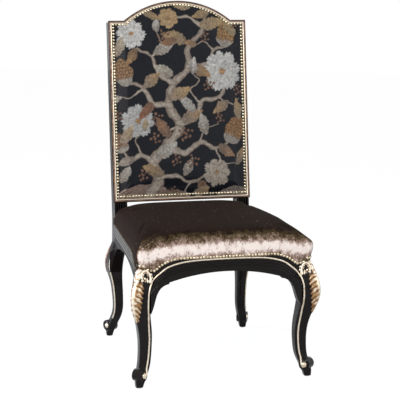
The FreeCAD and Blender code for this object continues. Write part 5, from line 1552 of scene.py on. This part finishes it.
class PAD_OT_chair_back(bpy.types.Operator):
    """Figured front and plain rear of the upholstered back"""
    bl_idname = "chair.back"
    bl_label = "Back"

    def execute(self, context):
        pads = context.scene.chair_pads
        ground = tuple(context.scene.chair_looks.ground)
        for name, inset, direction, level, swell, step, hollow, slot, replaced in (
            ("figured_back", 0.0113, -1, 0.0, pads.back_swell, 0.0037, 0.0052, "figured_satin",
             ["back_cover_front", "back_foam"]),
            ("rear_back_cloth", 0.010, 1, 0.046, pads.rear_swell, 0.008, 0.0, "rear_cloth",
             ["back_cover_rear", "back_wadding_rear"]),
        ):
            thing = linked(name, self.pad(name, inset, direction, level, swell, step, hollow))
            fill_out(thing, self.held(thing, inset, direction, level), pads.pressure * 0.5, 0.003)
            finer(thing)
            if direction < 0:
                self.weave(thing.data, ground)
            covered(thing, figured_satin() if direction < 0 else plain_satin(), slot, replaced)
        return {"FINISHED"}

    def depth_inside(self, x, w, inset):
        """How far a place is inside the panel's edge, with its corners softened."""
        half, low, high, radius, end = panel_sizes(inset)
        across = half - abs(x)
        below = w - low
        above = high - w
        if abs(x) < end:
            above = radius - math.hypot(x, max(0.0, w - ARCH_CENTRE))
            if w < high:
                above = min(above, math.hypot(end - abs(x), high - w))
        return max(0.0, min(across, below, above))

    def swell_at(self, depth, swell):
        """How far the pad stands out at a depth inside its edge: a flat rim, then a full crown."""
        crown = ((0, 0), (1.9, 0.42), (10.8, 0.72), (28.8, 0.88), (62.4, 0.97), (105.6, 1))
        return 0.0023 + (swell - 0.0020) * at((depth - 0.015) * 1000, crown)

    def pad(self, name, inset, direction, level, swell, step, hollow):
        """A closed pad with the panel's outline: a crowned face and a flat inside."""
        half, low, high, radius, end = panel_sizes(inset)
        columns = int(round(2 * half / step))
        rows = int(round((high - low) / step))

        def place(j, i):
            x = -half + 2 * half * j / columns
            top = ARCH_CENTRE + math.sqrt(radius ** 2 - x ** 2) if abs(x) < end else high
            w = low + (top - low) * i / rows
            depth = self.depth_inside(x, w, inset)
            out = level + direction * self.swell_at(depth, swell)
            inside = level + direction * (0.0003 + hollow * clamped((depth - 0.0155) / 0.003))
            return on_back(x, out, w), on_back(x, inside, w)

        return tidy(closed_sheet(name, columns + 1, rows + 1, place))

    def panel_place(self, y, z):
        """Behind the front face, and up, for a place behind and above the chair's middle."""
        y, z = y - POST_Y, z - FRAME_TOP
        return (
            y * math.cos(BACK_LEAN) - z * math.sin(BACK_LEAN),
            y * math.sin(BACK_LEAN) + z * math.cos(BACK_LEAN),
        )

    def held(self, thing, inset, direction, level):
        """The points of a pad that its nails and frame hold: its rim and its inside."""
        kept = []
        for vert in thing.data.vertices:
            v, w = self.panel_place(vert.co.y, vert.co.z)
            out = (v - level) * direction
            depth = self.depth_inside(vert.co.x, w, inset)
            if depth < 0.013 or out < 0.0022 or depth > 0.0175 and out < 0.0057 and direction < 0:
                kept.append(vert.index)
        return kept

    def weave(self, mesh, ground):
        """Draw the woven design on the points of the front pad."""
        count = len(mesh.vertices)
        flat = np.empty(count * 3)
        mesh.vertices.foreach_get("co", flat)
        flat = flat.reshape(-1, 3)
        design = Design(flat[:, 0], self.panel_place(flat[:, 1], flat[:, 2])[1], ground)
        draw_flowering_tree(design)
        colours = np.ones((count, 4))
        colours[:, :3] = design.colour
        keep(mesh, "figure", colours.ravel(), "FLOAT_COLOR", "color")
        keep(mesh, "raised", design.raised)


class TRIM_OT_chair_nails(bpy.types.Operator):
    """Domed brass nails round the seat and both faces of the back"""
    bl_idname = "chair.nails"
    bl_label = "Nails"

    def execute(self, context):
        trim = context.scene.chair_trim
        tree = head_tree()
        brass = nail_brass(context.scene.chair_looks)
        for node in ("seat_nails", "back_nails_front", "back_nails_rear"):
            places, facings = self.heads(node)
            # The nails on the seat's sides get a low tone mark, which darkens them
            tones = [0.06 if node == "seat_nails" and abs(f.x) > 0.8 else 1.0 for f in facings]
            seed = facing_points(node + "_domed", places, facings)
            keep(seed, "relief", tones)
            grown(
                tree, seed, node + "_domed", "nail_brass", [node],
                Radius=trim.nail_radius, Dome=trim.nail_dome, Sides=10, Finish=brass,
            )
        return {"FINISHED"}

    def heads(self, node):
        """The middle of each nail's flat and the way that its dome faces."""
        shape = shape_of(cad[node].data)
        left = set(shape.faces)
        places, facings = [], []
        while left:
            first = left.pop()
            island, queue = [first], [first]
            while queue:
                for edge in queue.pop().edges:
                    for face in edge.link_faces:
                        if face in left:
                            left.discard(face)
                            island.append(face)
                            queue.append(face)
            total = {}
            for face in island:
                key = tuple(round(c, 2) for c in face.normal)
                total[key] = total.get(key, 0.0) + face.calc_area()
            flat = Vector(max(total, key=total.get))
            verts = {v for face in island for v in face.verts}
            lowest = max(v.co.dot(flat) for v in verts)
            rim = [v.co for v in verts if v.co.dot(flat) > lowest - 1e-5]
            places.append(sum(rim, Vector()) / len(rim))
            facings.append(-flat.normalized())
        shape.free()
        return places, facings


class PAD_OT_chair_dust_cover(bpy.types.Operator):
    """Black dust cloth under the seat, sagging a little between the rails"""
    bl_idname = "chair.dust_cover"
    bl_label = "Dust cover"

    def execute(self, context):
        shape = shape_of(cad["seat_dust_cover"].data)
        bmesh.ops.dissolve_limit(shape, angle_limit=0.01, verts=shape.verts, edges=shape.edges)
        low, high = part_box("seat_dust_cover")
        for axis, start, end in ((Vector((1, 0, 0)), low.x, high.x), (Vector((0, 1, 0)), low.y, high.y)):
            count = int((end - start) / 0.014)
            for k in range(1, count):
                place = axis * (start + (end - start) * k / count)
                everything = list(shape.verts) + list(shape.edges) + list(shape.faces)
                bmesh.ops.bisect_plane(shape, geom=everything, plane_co=place, plane_no=axis)
        wide = (high.x - low.x) / 2
        deep = (high.y - low.y) / 2
        middle = (low.y + high.y) / 2
        for v in shape.verts:
            sag = max(0.0, 1 - (v.co.x / wide) ** 2) * max(0.0, 1 - ((v.co.y - middle) / deep) ** 2)
            ripple = 0.0004 * math.sin(v.co.x * 90) * math.sin(v.co.y * 70 + v.co.x * 30)
            v.co.z -= 0.006 * sag + ripple * (1 if sag > 0.05 else 0)
        mesh = closed(shape, "dust_cover_cloth")
        mesh.shade_smooth()
        mesh.set_sharp_from_angle(angle=math.radians(45))
        cloth = coarse_cloth("cotton_dust_cloth_black", "#26262a", "#0c0c0e", 0.0009, 0.85)
        sheet = new_piece("dust_cover_cloth", mesh, cloth, "dust_cloth", ["seat_dust_cover"])
        return {"FINISHED"}


class CHAIR_PT_panel(bpy.types.Panel):
    """The steps that finish the chair"""
    bl_label = "Upholstered Side Chair"
    bl_idname = "CHAIR_PT_panel"
    bl_space_type = "VIEW_3D"
    bl_region_type = "UI"
    bl_category = "Chair"

    def draw(self, context):
        for step in STEPS:
            self.layout.operator(step.bl_idname)
        for group in ("chair_looks", "chair_trim", "chair_pads"):
            settings = getattr(context.scene, group)
            box = self.layout.box()
            for name in settings.__annotations__:
                box.prop(settings, name)


GROUPS = (ChairLooks, ChairTrim, ChairPads)
STEPS = (
    STUDIO_OT_chair_stage, FINISH_OT_chair_frame, TRIM_OT_chair_beads, CARVE_OT_chair_carving,
    TRIM_OT_chair_mouldings, PAD_OT_chair_seat, PAD_OT_chair_back, TRIM_OT_chair_nails,
    PAD_OT_chair_dust_cover,
)


def register():
    for kind in GROUPS + STEPS + (CHAIR_PT_panel,):
        bpy.utils.register_class(kind)
    bpy.types.Scene.chair_looks = PointerProperty(type=ChairLooks)
    bpy.types.Scene.chair_trim = PointerProperty(type=ChairTrim)
    bpy.types.Scene.chair_pads = PointerProperty(type=ChairPads)


def unregister():
    del bpy.types.Scene.chair_pads
    del bpy.types.Scene.chair_trim
    del bpy.types.Scene.chair_looks
    for kind in reversed(GROUPS + STEPS + (CHAIR_PT_panel,)):
        bpy.utils.unregister_class(kind)


def main():
    """Make everything in order."""
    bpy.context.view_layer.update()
    register()
    bpy.ops.chair.stage()
    bpy.ops.chair.frame()
    bpy.ops.chair.beads()
    bpy.ops.chair.carving()
    bpy.ops.chair.mouldings()
    bpy.ops.chair.seat()
    bpy.ops.chair.back()
    bpy.ops.chair.nails()
    bpy.ops.chair.dust_cover()
    bpy.context.view_layer.update()


if __name__ == "__main__":
    main()
